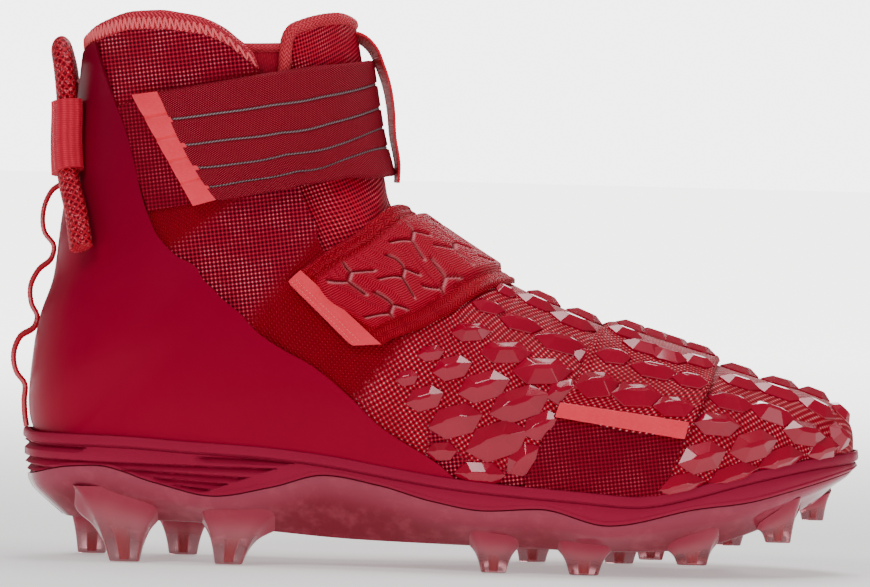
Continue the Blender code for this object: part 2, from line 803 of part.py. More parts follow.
def build_wrap_panel(form):
    """The plain panel that carries the forefoot strap's pull down to the sole on the lateral side."""
    rows = form_rows(form)
    faces = form_faces(form, lambda row, column: form.shares[column] < -0.5)
    rows, faces = clip_sheet(rows, faces, lambda r: -r[:, 7] - WRAP_TOP)
    rows, faces = clip_sheet(rows, faces, lambda r: 9.55 + (-r[:, 7] - 0.63) * 2.4 - r[:, 6])
    rows, faces = clip_sheet(rows, faces, lambda r: r[:, 6] - 6.95 - (-r[:, 7] - 0.64) * 2.3)
    rows, faces = clip_sheet(rows, faces, over_rim)
    return sheet_from_rows("wrap_panel", rows, faces, GAP, GAP + WRAP_THICKNESS)


def build_tab(form, name, corners):
    """A flat pull tab: the lateral face of the form inside four corners seen from the side."""
    rows = form_rows(form)
    faces = form_faces(form, lambda row, column: form.shares[column] < -0.25)
    corners = np.array(corners) * (SHOE_LENGTH, COLLAR_HEIGHT)
    middle = corners.mean(axis=0)
    for k in range(4):
        start, end = corners[k], corners[(k + 1) % 4]
        across = np.array((start[1] - end[1], end[0] - start[0]))
        across /= np.linalg.norm(across)
        if np.dot(middle - start, across) < 0.0:
            across = -across
        rows, faces = clip_sheet(
            rows,
            faces,
            lambda r, start=start, across=across: (r[:, 0] - start[0]) * across[0] + (r[:, 2] - start[1]) * across[1],
        )
    return sheet_from_rows(name, rows, faces, GAP, GAP + TAB_THICKNESS)


def build_strap(form, name, columns, section, thickness):
    """A strap over the form. A column is a pair of (share, station) ends; the section runs across between them."""
    lows, highs, faces = [], [], []
    per_column = len(section)
    for low_end, high_end in columns:
        for across, height in section:
            share = low_end[0] + (high_end[0] - low_end[0]) * across
            station = low_end[1] + (high_end[1] - low_end[1]) * across
            lows.append(form.at(station, share, GAP + STRAP_LIFT))
            highs.append(form.at(station, share, GAP + STRAP_LIFT + thickness * height))
    for column in range(len(columns) - 1):
        for k in range(per_column - 1):
            a = column * per_column + k
            faces.append((a, a + per_column, a + per_column + 1, a + 1))
    return thick_sheet(name, np.array(highs), np.array(lows), faces)


def strap_columns(table, lateral_end, medial_end, medial_rows=()):
    """Columns of a strap from its lateral end over the ridge to its medial end."""
    columns = [((-row[0], row[1]), (-row[2], row[3])) for row in lateral_end]
    columns += [((-share, low), (-share, high)) for share, low, high in reversed(table)]
    columns += [((share, low), (share, high)) for share, low, high in table[1:]]
    columns += [((share, low), (share, high)) for share, low, high in medial_rows]
    columns += [((row[0], row[1]), (row[2], row[3])) for row in reversed(medial_end)]
    return columns


def build_tongue(form):
    """The padded tongue: under the quarters at its edges and out in the throat between them."""
    outer, inner, faces = [], [], []
    for station, edge in TONGUE_ROWS:
        for column in TONGUE_COLUMNS:
            share = column * edge
            hidden = min(max((abs(share) - 0.24) / 0.13, 0.0), 1.0)
            low_down = min(max((15.0 - station) / 1.8, 0.0), 1.0)
            sunk = max(hidden, low_down)
            sunk = sunk * sunk * (3.0 - 2.0 * sunk)
            offset = -GAP - (WALL + 0.0006) * sunk
            thickness = TONGUE_THICKNESS * (1.0 if abs(column) < 1.0 else 0.5)
            outer.append(form.at(station, share, offset))
            inner.append(form.at(station, share, offset - thickness))
    per_row = len(TONGUE_COLUMNS)
    for row in range(len(TONGUE_ROWS) - 1):
        for k in range(per_row - 1):
            a = row * per_row + k
            faces.append((a, a + per_row, a + per_row + 1, a + 1))
    return thick_sheet("tongue", np.array(outer), np.array(inner), faces)


def build_binding(form):
    """The binding folded over the collar's edge from one throat corner round the heel to the other."""
    half = form.shares[: SIDE_COLUMNS + 1]
    order = list(half[::-1]) + [-share for share in half[1:]]
    vertices, faces = [], []
    per_ring = len(BINDING_SECTION)
    for share in order:
        top = collar_station(share)
        place = form.at(top, share)
        below = form.at(top - 1.0, share)
        up = (place - below) / np.linalg.norm(place - below)
        out = form.at(top, share, 1.0) - place
        for out_size, up_size in BINDING_SECTION:
            vertices.append(place + out * out_size + up * up_size)
    rings = len(order)
    for ring in range(rings - 1):
        for k in range(per_ring):
            a, b = ring * per_ring + k, ring * per_ring + (k + 1) % per_ring
            faces.append((a, b, b + per_ring, a + per_ring))
    faces.append(tuple(range(per_ring)))
    faces.append(tuple((rings - 1) * per_ring + k for k in reversed(range(per_ring))))
    return make_object("collar_binding", vertices, faces)


def sweep(name, path, frames, section, hollow=None):
    """A body swept along a path. Frames give the two cross directions at each point of the path."""
    vertices, faces = [], []
    sides = len(section)
    for place, (first, second) in zip(path, frames):
        for a, b in section:
            vertices.append(place + first * a + second * b)
    rings = len(path)
    for ring in range(rings - 1):
        for k in range(sides):
            a, b = ring * sides + k, ring * sides + (k + 1) % sides
            faces.append((a, b, b + sides, a + sides))
    if hollow is None:
        faces.append(tuple(reversed(range(sides))))
        faces.append(tuple((rings - 1) * sides + k for k in range(sides)))
        return make_object(name, vertices, faces)
    start = len(vertices)
    for place, (first, second) in zip(path, frames):
        for a, b in hollow:
            vertices.append(place + first * a + second * b)
    for ring in range(rings - 1):
        for k in range(sides):
            a, b = start + ring * sides + k, start + ring * sides + (k + 1) % sides
            faces.append((b, a, a + sides, b + sides))
    for ring in (0, rings - 1):
        for k in range(sides):
            a, b = ring * sides + k, ring * sides + (k + 1) % sides
            faces.append((a, b, start + b, start + a))
    return make_object(name, vertices, faces)


def build_ribbon(name, table, width):
    """A flat ribbon in the shoe's long plane."""
    path = [np.array((x * SHOE_LENGTH, 0.0, z * COLLAR_HEIGHT)) for x, z in table]
    frames = []
    for k in range(len(path)):
        along = path[min(k + 1, len(path) - 1)] - path[max(k - 1, 0)]
        along /= np.linalg.norm(along)
        frames.append((np.array((0.0, 1.0, 0.0)), np.array((along[2], 0.0, -along[0]))))
    half, thick = width / 2, RIBBON / 2
    return sweep(name, path, frames, ((-half, -thick), (half, -thick), (half, thick), (-half, thick)))


def rope_line(side, start, end):
    """Points of the heel rope on one side, between two heights as shares of COLLAR_HEIGHT."""
    rows = [row for row in ROPE_PATH if start <= row[2] <= end]
    return [np.array((x * SHOE_LENGTH, side * y * BALL_WIDTH, z * COLLAR_HEIGHT)) for x, y, z in rows]


def rope_frames(path):
    """Cross directions of the rope: round the heel first, away from the heel second."""
    frames = []
    for k in range(len(path)):
        along = path[min(k + 1, len(path) - 1)] - path[max(k - 1, 0)]
        along /= np.linalg.norm(along)
        axis = np.array((0.050, 0.0, path[k][2]))
        away = path[k] - axis
        away -= along * np.dot(away, along)
        away /= np.linalg.norm(away)
        frames.append((np.cross(along, away), away))
    return frames


def oval(width, thickness, sides):
    """An oval section with its flats turned to the two cross directions."""
    angles = [2.0 * math.pi * (k + 0.5) / sides for k in range(sides)]
    return [(math.cos(a) * width / 2, math.sin(a) * thickness / 2) for a in angles]


def build_rope(form):
    """The rope loop behind the heel, and the sleeve on each of its legs."""
    lateral = rope_line(-1.0, 0.0, 1.0)
    medial = rope_line(1.0, 0.0, 1.0)
    path = lateral + medial[::-1][1:]
    sweep("heel_rope", path, rope_frames(path), oval(ROPE_WIDTH, ROPE_THICKNESS, ROPE_SIDES))
    for name, side in (("rope_sleeve_lateral", -1.0), ("rope_sleeve_medial", 1.0)):
        part = rope_line(side, *SLEEVE_SPAN)
        grow = 2 * (GAP + 0.0002)
        inside = oval(ROPE_WIDTH + grow, ROPE_THICKNESS + grow, ROPE_SIDES)
        outside = oval(
            ROPE_WIDTH + grow + 2 * SLEEVE_WALL, ROPE_THICKNESS + grow + 2 * SLEEVE_WALL, ROPE_SIDES
        )
        sweep(name, part, rope_frames(part), outside, hollow=inside)


def edge_loop(form):
    """The upper's edge on the sole as a closed loop: places, outward directions, and places at the rim's height."""
    fixed = [k for k, station in enumerate(form.fixed) if station <= HEEL_STATION]
    last = len(form.shares) - 1
    order = [(row, 0) for row in fixed] + [(row, last) for row in fixed[-2:0:-1]]
    places = np.array([form.points[row, column] for row, column in order])
    rims = []
    for row, column in order:
        step = 1 if column == 0 else -1
        low, high = form.points[row, column], form.points[row, column + step]
        if row == 0:
            low, high = form.points[0, 0], form.points[1, len(form.shares) // 2]
        t = TUCK / max(high[2] - low[2], 1e-6)
        rims.append(low + (high - low) * min(t, 1.0))
    heel = len(fixed) - 1
    places[heel, 2] = places[heel - 1, 2]
    turned = np.roll(places, -1, axis=0) - np.roll(places, 1, axis=0)
    outward = np.column_stack((turned[:, 1], -turned[:, 0], np.zeros(len(places))))
    outward /= np.linalg.norm(outward, axis=1)[:, None]
    if np.dot(outward[0], (1.0, 0.0, 0.0)) < 0.0:
        outward = -outward
    lean = np.einsum("ij,ij->i", np.array(rims) - places, outward)
    stations = np.array([form.fixed[row] for row, column in order])
    lean = np.where(stations > 18.5, 0.0004, np.clip(lean, 0.0, 0.0022))
    lean += np.where((stations > 17.5) | (stations < 4.2), 0.0006, 0.0)
    return places, outward, lean, len(fixed)


class SoleEdge:
    """The sole's edge loop, with the heights and reaches of the sole along it."""

    def __init__(self, form):
        self.places, self.outward, self.lean, self.half = edge_loop(form)
        along = self.places[:, 0] / SHOE_LENGTH
        self.rim = self.places[:, 2] + TUCK
        self.reach = curve(LIP_LINE, along)[:, 1] * BALL_WIDTH
        wave = curve(WAVE_LINE, along)[:, 1] * COLLAR_HEIGHT
        self.wave = np.minimum(wave, self.rim - LIP_HEIGHT - 0.0016)

    def ring(self, reach, height):
        """The loop moved outward by a reach, at a height."""
        found = self.places + self.outward * (np.ones(len(self.places)) * reach)[:, None]
        found[:, 2] = height
        return found

    def low_ring(self, reach, part, lift, column=2):
        """The loop moved by a reach, between the underside or footbed there and the wavy edge, and lifted."""
        found = self.ring(reach, 0.0)
        base = curve(SOLE_LINE, found[:, 0] / SHOE_LENGTH)[:, column] * COLLAR_HEIGHT
        found[:, 2] = base + part * (self.wave - base) + lift
        return found


def closed_rings(name, rings, half):
    """A body from closed rings of the sole's edge loop, with a flat web across the first and the last ring."""
    count = len(rings[0])
    vertices = np.concatenate(rings)
    faces = []
    for ring in range(len(rings) - 1):
        for k in range(count):
            a, b = ring * count + k, ring * count + (k + 1) % count
            faces.append((a, b, b + count))
            faces.append((a, b + count, a + count))
    for ring in (0, len(rings) - 1):
        base = ring * count
        for k in range(half - 1):
            left, right = (base + (count - k) % count, base + (count - k - 1) % count)
            corners = [base + k, base + k + 1, right, left]
            faces.append([corner for n, corner in enumerate(corners) if corner not in corners[:n]])
    return make_object(name, vertices, faces)


def build_sole(form):
    """The cupped midsole, the insole on it, and the clear plate with its studs under it."""
    edge = SoleEdge(form)
    reach, rim, wave = edge.reach, edge.rim, edge.wave
    ledge = rim - TUCK - GAP
    at_wave = reach - 0.0019
    closed_rings(
        "midsole",
        [
            edge.low_ring(-0.0068, 0.0, 0.0, column=1),
            edge.ring(-0.0034, ledge),
            edge.ring(GAP + 0.0001, ledge),
            edge.ring(edge.lean + GAP + 0.0003, rim),
            edge.ring(reach, rim),
            edge.ring(reach + 0.0001, rim - LIP_HEIGHT),
            edge.ring(reach - 0.0009, rim - LIP_HEIGHT - 0.0005),
            edge.ring(at_wave, wave + GAP),
            edge.ring(at_wave - SKIRT - GAP, wave + GAP),
            edge.low_ring(at_wave - 0.0050, 0.60, 0.0017),
            edge.low_ring(reach - 0.0111, 0.35, 0.0037),
            edge.low_ring(reach - 0.0160, 0.0, PLATE + GAP + 0.0001),
        ],
        edge.half,
    )
    plate = closed_rings(
        "outsole",
        [
            edge.low_ring(reach - 0.0150, 0.0, 0.0),
            edge.low_ring(reach - 0.0085, 0.35, 0.0),
            edge.low_ring(at_wave - 0.0024, 0.60, 0.0),
            edge.ring(at_wave, wave),
            edge.ring(at_wave - SKIRT, wave),
            edge.low_ring(at_wave - 0.0046, 0.60, 0.0011),
            edge.low_ring(reach - 0.0106, 0.35, 0.0030),
            edge.low_ring(reach - 0.0156, 0.0, PLATE),
        ],
        edge.half,
    )
    closed_rings(
        "insole",
        [
            edge.low_ring(-0.0076, 0.0, GAP, column=1),
            edge.low_ring(-0.0066, 0.0, GAP + INSOLE, column=1),
        ],
        edge.half,
    )
    add_studs(plate)


def plate_height(x, y):
    """Height of the plate's outer face over a place on the ground."""
    along = x / SHOE_LENGTH
    table = np.array([row for row in LOW_LINE if row[0] <= HEEL_STATION])
    order = np.argsort(table[:, 1])
    edge = table[order, 4] if y > 0.0 else table[order, 3]
    inset = np.interp(along, table[order, 1], edge) * BALL_WIDTH - abs(y)
    underside = curve(SOLE_LINE, along)[0, 2] * COLLAR_HEIGHT
    tall = curve(WAVE_LINE, along)[0, 1] * COLLAR_HEIGHT - underside
    rise = np.interp(inset, (0.0012, 0.0056, 0.0120), (0.60, 0.35, 0.0))
    return underside + rise * tall


def keep_largest(item):
    """Drop everything but the largest connected body, so that pockets sealed under the stud roots are solid."""
    build = bmesh.new()
    build.from_mesh(item.data)
    waiting = set(build.verts)
    bodies = []
    while waiting:
        front = [waiting.pop()]
        body = list(front)
        while front:
            vertex = front.pop()
            for edge in vertex.link_edges:
                other = edge.other_vert(vertex)
                if other in waiting:
                    waiting.remove(other)
                    front.append(other)
                    body.append(other)
        bodies.append(body)
    bodies.sort(key=len)
    for body in bodies[:-1]:
        bmesh.ops.delete(build, geom=body, context="VERTS")
    build.to_mesh(item.data)
    build.free()


def add_studs(plate):
    """Join the tapered studs to the plate."""
    vertices, faces = [], []
    for along, across, foot, foot_long, foot_wide, root_long, root_wide in STUDS:
        x, y = along * SHOE_LENGTH, across * BALL_WIDTH
        start = len(vertices)
        vertices.append((x, y, curve(SOLE_LINE, along)[0, 2] * COLLAR_HEIGHT + 0.0017))
        for down, taper in STUD_RINGS:
            long = (root_long + (foot_long - root_long) * taper) * SHOE_LENGTH / 2
            wide = (root_wide + (foot_wide - root_wide) * taper) * BALL_WIDTH / 2
            for k in range(STUD_SIDES):
                angle = 2.0 * math.pi * (k + 0.5) / STUD_SIDES
                cos, sin = math.cos(angle), math.sin(angle)
                square = (abs(cos) ** 2.6 + abs(sin) ** 2.6) ** (-1.0 / 2.6)
                px, py = x + long * cos * square, y + wide * sin * square
                root = plate_height(px, py) + 0.0018
                vertices.append((px, py, root + (foot * COLLAR_HEIGHT - root) * down))
        rings = len(STUD_RINGS)
        for level in range(rings - 1):
            for k in range(STUD_SIDES):
                a = start + 1 + level * STUD_SIDES + k
                b = start + 1 + level * STUD_SIDES + (k + 1) % STUD_SIDES
                faces.append((a, b, b + STUD_SIDES, a + STUD_SIDES))
                if level == 0:
                    faces.append((start, b, a))
        faces.append(tuple(start + 1 + (rings - 1) * STUD_SIDES + k for k in range(STUD_SIDES)))
    studs = make_object("stud_cutter", vertices, faces)
    join = plate.modifiers.new("studs", "BOOLEAN")
    join.operation = "UNION"
    join.solver = "EXACT"
    join.object = studs
    bpy.context.view_layer.update()
    merged = bpy.data.meshes.new_from_object(plate.evaluated_get(bpy.context.evaluated_depsgraph_get()))
    plate.modifiers.clear()
    plate.data = merged
    plate.data.materials.clear()
    plate.data.materials.append(bpy.data.materials["outsole_finish"])
    keep_largest(plate)
    bpy.data.objects.remove(studs, do_unlink=True)


def main():
    for item in list(bpy.data.objects):
        bpy.data.objects.remove(item, do_unlink=True)
    bpy.context.scene.collection.children.link(bpy.data.collections.new(COLLECTION))
    form = Form()
    build_upper(form)
    build_heel_panel(form)
    build_wrap_panel(form)
    build_tab(form, "ankle_tab", ANKLE_TAB)
    build_tab(form, "midfoot_tab", MIDFOOT_TAB)
    build_tab(form, "forefoot_tab", FOREFOOT_TAB)
    build_tongue(form)
    build_binding(form)
    ankle = strap_columns(ANKLE_STRAP, ANKLE_END, ANKLE_END)
    build_strap(form, "ankle_strap", ankle, ANKLE_SECTION, ANKLE_THICKNESS)
    midfoot = strap_columns(MIDFOOT_STRAP, MIDFOOT_END, MIDFOOT_END)
    build_strap(form, "midfoot_strap", midfoot, PADDED_SECTION, MIDFOOT_THICKNESS)
    forefoot = strap_columns(
        FOREFOOT_STRAP, FOREFOOT_LATERAL_END, FOREFOOT_MEDIAL_END, FOREFOOT_MEDIAL_SIDE
    )
    build_strap(form, "forefoot_strap", forefoot, FLAT_SECTION, FOREFOOT_THICKNESS)
    build_ribbon("tongue_pull", TONGUE_PULL, PULL_WIDTH)
    build_ribbon("heel_tape", HEEL_TAPE, TAPE_WIDTH)
    build_rope(form)
    build_sole(form)


main()
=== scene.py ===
"""Looks of a right-foot american football cleat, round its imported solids.

Metres, +Z up, toe at +X, lateral side at -Y. Cloth, film and moulded pieces are laid on one form of the foot.
A place on it is a station (0 at the toe, 20 at the heel, 31 at the collar) and a girth share (-1 at the lateral
edge, 0 at the ridge, 1 at the medial edge).
"""

import math

import bmesh
import bpy
import numpy as np
from mathutils import Matrix, Vector
from mathutils.bvhtree import BVHTree

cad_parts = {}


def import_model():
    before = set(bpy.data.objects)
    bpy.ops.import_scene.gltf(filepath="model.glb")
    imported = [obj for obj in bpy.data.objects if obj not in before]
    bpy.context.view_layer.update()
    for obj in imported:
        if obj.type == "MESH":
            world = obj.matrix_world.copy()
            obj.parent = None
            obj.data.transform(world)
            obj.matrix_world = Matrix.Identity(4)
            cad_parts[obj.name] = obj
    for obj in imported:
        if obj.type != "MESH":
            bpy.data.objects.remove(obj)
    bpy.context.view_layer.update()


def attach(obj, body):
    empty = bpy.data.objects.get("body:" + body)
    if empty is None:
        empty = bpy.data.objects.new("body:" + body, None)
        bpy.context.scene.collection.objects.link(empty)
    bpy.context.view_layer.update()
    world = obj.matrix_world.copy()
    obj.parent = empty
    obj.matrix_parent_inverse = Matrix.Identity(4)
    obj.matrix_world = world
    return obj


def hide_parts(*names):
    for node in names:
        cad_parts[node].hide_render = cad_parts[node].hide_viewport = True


SHOE_LENGTH = 0.304
BALL_WIDTH = 0.102
COLLAR_HEIGHT = 0.200
CENTRE_ALONG = 0.1492
CENTRE_ACROSS = -0.0010

# Upper, and how far pieces stay apart
WALL = 0.0022
GAP = 0.0003
TUCK = 0.0035

# Low line of the form: the edge of the sole from the toe to the heel, then the spine up to the collar.
# Lengths are shares of SHOE_LENGTH, heights of COLLAR_HEIGHT, half widths of BALL_WIDTH.
HEEL_STATION = 20.0
LOW_LINE = (
    # station, along, height, lateral half width, medial half width
    (0.0, 0.9951, 0.2280, -0.029, 0.029),
    (1.0, 0.9900, 0.2275, 0.069, 0.127),
    (2.0, 0.9800, 0.2260, 0.127, 0.196),
    (3.0, 0.9650, 0.2235, 0.186, 0.255),
    (4.0, 0.9375, 0.2180, 0.260, 0.328),
    (5.0, 0.8950, 0.2050, 0.343, 0.397),
    (6.0, 0.8450, 0.1865, 0.407, 0.446),
    (7.0, 0.7900, 0.1635, 0.456, 0.475),
    (8.0, 0.7300, 0.1465, 0.490, 0.475),
    (9.0, 0.6710, 0.1530, 0.495, 0.446),
    (10.0, 0.6120, 0.1585, 0.475, 0.397),
    (11.0, 0.5530, 0.1645, 0.446, 0.348),
    (12.0, 0.4930, 0.1740, 0.412, 0.304),
    (13.0, 0.4280, 0.1890, 0.377, 0.270),
    (14.0, 0.3620, 0.2045, 0.348, 0.270),
    (15.0, 0.2800, 0.2165, 0.333, 0.304),
    (16.0, 0.1970, 0.2220, 0.330, 0.320),
    (17.0, 0.1250, 0.2285, 0.318, 0.318),
    (18.0, 0.0660, 0.2295, 0.270, 0.270),
    (19.0, 0.0296, 0.2290, 0.186, 0.186),
    (19.5, 0.0171, 0.2285, 0.118, 0.118),
    (20.0, 0.0093, 0.2410, 0.000, 0.000),
    (21.0, 0.0059, 0.2820, 0.000, 0.000),
    (22.0, 0.0095, 0.3550, 0.000, 0.000),
    (23.0, 0.0181, 0.4325, 0.000, 0.000),
    (24.0, 0.0339, 0.5100, 0.000, 0.000),
    (25.0, 0.0405, 0.6000, 0.000, 0.000),
    (26.0, 0.0477, 0.6850, 0.000, 0.000),
    (27.0, 0.0536, 0.7750, 0.000, 0.000),
    (28.0, 0.0582, 0.8500, 0.000, 0.000),
    (29.0, 0.0618, 0.9100, 0.000, 0.000),
    (30.0, 0.0674, 0.9600, 0.000, 0.000),
    (31.0, 0.0757, 1.0150, 0.000, 0.000),
)

# High line of the form: the ridge of the toe box and instep, then the front of the tongue
HIGH_LINE = (
    # station, along, height, off centre to medial
    (0.0, 0.9951, 0.228, 0.029),
    (1.0, 0.9934, 0.260, 0.031),
    (2.0, 0.9836, 0.292, 0.037),
    (3.0, 0.9671, 0.312, 0.039),
    (4.0, 0.9375, 0.330, 0.044),
    (5.0, 0.8882, 0.350, 0.049),
    (6.0, 0.8388, 0.372, 0.049),
    (7.0, 0.7829, 0.396, 0.049),
    (8.0, 0.7171, 0.427, 0.044),
    (9.0, 0.6513, 0.467, 0.039),
    (10.0, 0.5855, 0.511, 0.029),
    (11.0, 0.5210, 0.567, 0.025),
    (12.0, 0.4770, 0.611, 0.020),
    (13.0, 0.4507, 0.640, 0.015),
    (14.0, 0.4326, 0.679, 0.010),
    (15.0, 0.4234, 0.708, 0.005),
    (16.0, 0.4184, 0.733, 0.000),
    (18.0, 0.4105, 0.775, 0.000),
    (20.0, 0.4066, 0.803, 0.000),
    (22.0, 0.4023, 0.840, 0.000),
    (24.0, 0.3977, 0.880, 0.000),
    (26.0, 0.3934, 0.920, 0.000),
    (28.0, 0.3882, 0.960, 0.000),
    (30.0, 0.3816, 1.008, 0.000),
    (31.0, 0.3766, 1.040, 0.000),
)

# Girth of the form. Widest and throat are places on a station's line, 0 at its low point, 1 at its high point.
GIRTH = (
    # station, lateral, medial, widest, throat, fullness
    (0.0, -0.025, 0.035, 0.30, 0.66, 2.2),
    (1.0, 0.090, 0.148, 0.30, 0.66, 2.2),
    (2.0, 0.153, 0.222, 0.30, 0.66, 2.2),
    (3.0, 0.211, 0.280, 0.30, 0.66, 2.2),
    (4.0, 0.285, 0.353, 0.30, 0.66, 2.3),
    (6.0, 0.432, 0.471, 0.28, 0.66, 2.3),
    (8.0, 0.510, 0.500, 0.26, 0.66, 2.2),
    (10.0, 0.495, 0.436, 0.26, 0.68, 2.1),
    (12.0, 0.432, 0.363, 0.28, 0.74, 2.0),
    (13.0, 0.407, 0.338, 0.30, 0.78, 2.0),
    (14.0, 0.378, 0.328, 0.31, 0.71, 2.0),
    (15.0, 0.363, 0.338, 0.32, 0.67, 2.0),
    (16.0, 0.353, 0.343, 0.33, 0.70, 2.0),
    (17.0, 0.348, 0.343, 0.34, 0.755, 2.0),
    (18.0, 0.343, 0.343, 0.35, 0.775, 2.0),
    (19.0, 0.343, 0.343, 0.36, 0.785, 2.0),
    (20.0, 0.343, 0.343, 0.30, 0.79, 2.0),
    (21.0, 0.343, 0.343, 0.32, 0.785, 2.0),
    (22.0, 0.343, 0.343, 0.37, 0.765, 2.0),
    (24.0, 0.343, 0.343, 0.43, 0.72, 2.0),
    (26.0, 0.348, 0.348, 0.46, 0.68, 2.0),
    (28.0, 0.353, 0.353, 0.46, 0.63, 2.0),
    (30.0, 0.358, 0.358, 0.46, 0.57, 2.0),
    (31.0, 0.358, 0.358, 0.46, 0.55, 2.0),
)

# Top edge of the quarters: how high up the stations it lies, from the spine to the throat
COLLAR_LINE = (
    # from spine to throat, station
    (0.00, 29.70),
    (0.27, 30.15),
    (0.46, 30.37),
    (0.61, 30.34),
    (0.72, 30.18),
    (0.82, 29.95),
    (0.90, 29.45),
    (0.95, 28.75),
    (1.00, 28.00),
)

# How squarely a station leaves its low point: upright from the sole's edge, round on the spine
ROUNDNESS = (
    # station, power
    (18.0, 1.80),
    (19.0, 1.40),
    (19.5, 1.15),
    (20.0, 1.00),
)

# Heights along the sole, as shares of COLLAR_HEIGHT: footbed under the insole, and underside of the plate
SOLE_LINE = (
    # along, footbed, underside
    (0.000, 0.155, 0.082),
    (0.040, 0.155, 0.076),
    (0.200, 0.155, 0.073),
    (0.300, 0.150, 0.060),
    (0.400, 0.130, 0.050),
    (0.500, 0.112, 0.047),
    (0.600, 0.097, 0.045),
    (0.700, 0.092, 0.043),
    (0.770, 0.096, 0.046),
    (0.830, 0.120, 0.060),
    (0.870, 0.145, 0.080),
    (0.940, 0.188, 0.125),
    (1.000, 0.202, 0.168),
)

# Wavy top edge of the clear plate, as shares of SHOE_LENGTH and COLLAR_HEIGHT
WAVE_LINE = (
    # along, height
    (0.000, 0.145),
    (0.060, 0.170),
    (0.092, 0.173),
    (0.160, 0.146),
    (0.230, 0.124),
    (0.300, 0.143),
    (0.362, 0.167),
    (0.430, 0.151),
    (0.490, 0.127),
    (0.553, 0.113),
    (0.618, 0.119),
    (0.697, 0.093),
    (0.801, 0.125),
    (0.860, 0.137),
    (0.914, 0.158),
    (1.000, 0.195),
)

# How far the sole's lip stands out from the upper's edge, in shares of BALL_WIDTH
LIP_LINE = (
    # along, reach
    (0.00, 0.036),
    (0.12, 0.031),
    (0.50, 0.029),
    (0.90, 0.027),
    (1.00, 0.018),
)
LIP_HEIGHT = 0.0036
PLATE = 0.0034
SKIRT = 0.0014
WALL_RINGS = 40
INSOLE = 0.0030

# Studs under the plate, as shares of SHOE_LENGTH and BALL_WIDTH, the height of a foot as one of COLLAR_HEIGHT
STUDS = (
    # along, to medial, foot height, foot length, foot width, root length, root width
    (0.080, 0.190, 0.000, 0.034, 0.078, 0.066, 0.130),
    (0.126, -0.225, 0.000, 0.036, 0.078, 0.086, 0.140),
    (0.250, -0.245, 0.000, 0.033, 0.078, 0.074, 0.140),
    (0.190, 0.230, 0.000, 0.034, 0.078, 0.074, 0.140),
    (0.565, -0.325, 0.000, 0.030, 0.080, 0.062, 0.165),
    (0.614, 0.310, 0.000, 0.032, 0.080, 0.064, 0.165),
    (0.672, -0.345, 0.000, 0.035, 0.080, 0.068, 0.170),
    (0.720, 0.340, 0.000, 0.034, 0.080, 0.066, 0.170),
    (0.800, -0.320, 0.022, 0.035, 0.080, 0.064, 0.160),
    (0.851, 0.320, 0.039, 0.032, 0.078, 0.060, 0.155),
    (0.903, -0.215, 0.063, 0.030, 0.076, 0.054, 0.145),
    (0.950, 0.130, 0.095, 0.026, 0.076, 0.044, 0.130),
    (0.755, 0.030, 0.018, 0.028, 0.060, 0.046, 0.105),
)
# How far the roots of two studs lean along the shoe, by place in the table, as a share of SHOE_LENGTH
STUD_LEAN = {1: -0.012, 2: 0.011}
STUD_RINGS = (
    # from root to foot, share of the way down, share of the taper
    (0.00, 0.00),
    (0.30, 0.52),
    (0.65, 0.82),
    (1.00, 1.00),
)

# Glossy heel panel: the girth share of its front edge at each station
HEEL_PANEL = (
    # station, share
    (11.30, 1.01),
    (11.90, 0.93),
    (13.10, 0.86),
    (13.90, 0.78),
    (15.00, 0.69),
    (17.20, 0.64),
    (20.40, 0.60),
    (22.10, 0.64),
    (24.30, 0.70),
    (26.30, 0.74),
    (27.90, 0.80),
    (29.50, 0.87),
)
PANEL_THICKNESS = 0.0011
PANEL_FOOT = 11.55
PANEL_DROP = 0.62

# Forefoot strap from the ridge to its medial end, crosswise at girth shares: the two stations it spans there
FOREFOOT_STRAP = (
    # share, front station, rear station
    (0.000, 6.15, 8.30),
    (0.100, 6.20, 8.40),
    (0.200, 6.30, 8.60),
    (0.300, 6.45, 8.80),
    (0.400, 6.60, 8.95),
    (0.475, 6.70, 9.15),
    (0.550, 6.85, 9.30),
    (0.625, 7.00, 9.50),
    (0.700, 7.15, 9.62),
    (0.775, 7.30, 9.75),
    (0.850, 7.45, 9.95),
    (0.885, 7.55, 10.05),
)
ANKLE_THICKNESS = 0.0034
ANKLE_BANDS = 5
CORD_RADIUS = 0.00042
CORD_LIFT = 0.0024
MIDFOOT_WIDTH = 0.037
MIDFOOT_TAPE = 0.0062
FOREFOOT_THICKNESS = 0.0026
STRAP_LIFT = 0.0005
TAB_THICKNESS = 0.0030
WRAP_THICKNESS = 0.0010

# Tongue: how wide it is at each station, from its root up
TONGUE_ROOT = 11.7
TONGUE_ROWS = (
    # station, girth share of its edge
    (11.7, 0.30),
    (12.4, 0.42),
    (13.0, 0.46),
    (14.0, 0.46),
    (15.0, 0.46),
    (16.0, 0.46),
    (18.0, 0.46),
    (20.0, 0.46),
    (22.0, 0.46),
    (24.0, 0.46),
    (26.0, 0.46),
    (27.0, 0.44),
    (27.5, 0.37),
    (28.3, 0.35),
    (28.7, 0.32),
    (29.0, 0.25),
)
TONGUE_THICKNESS = 0.0030

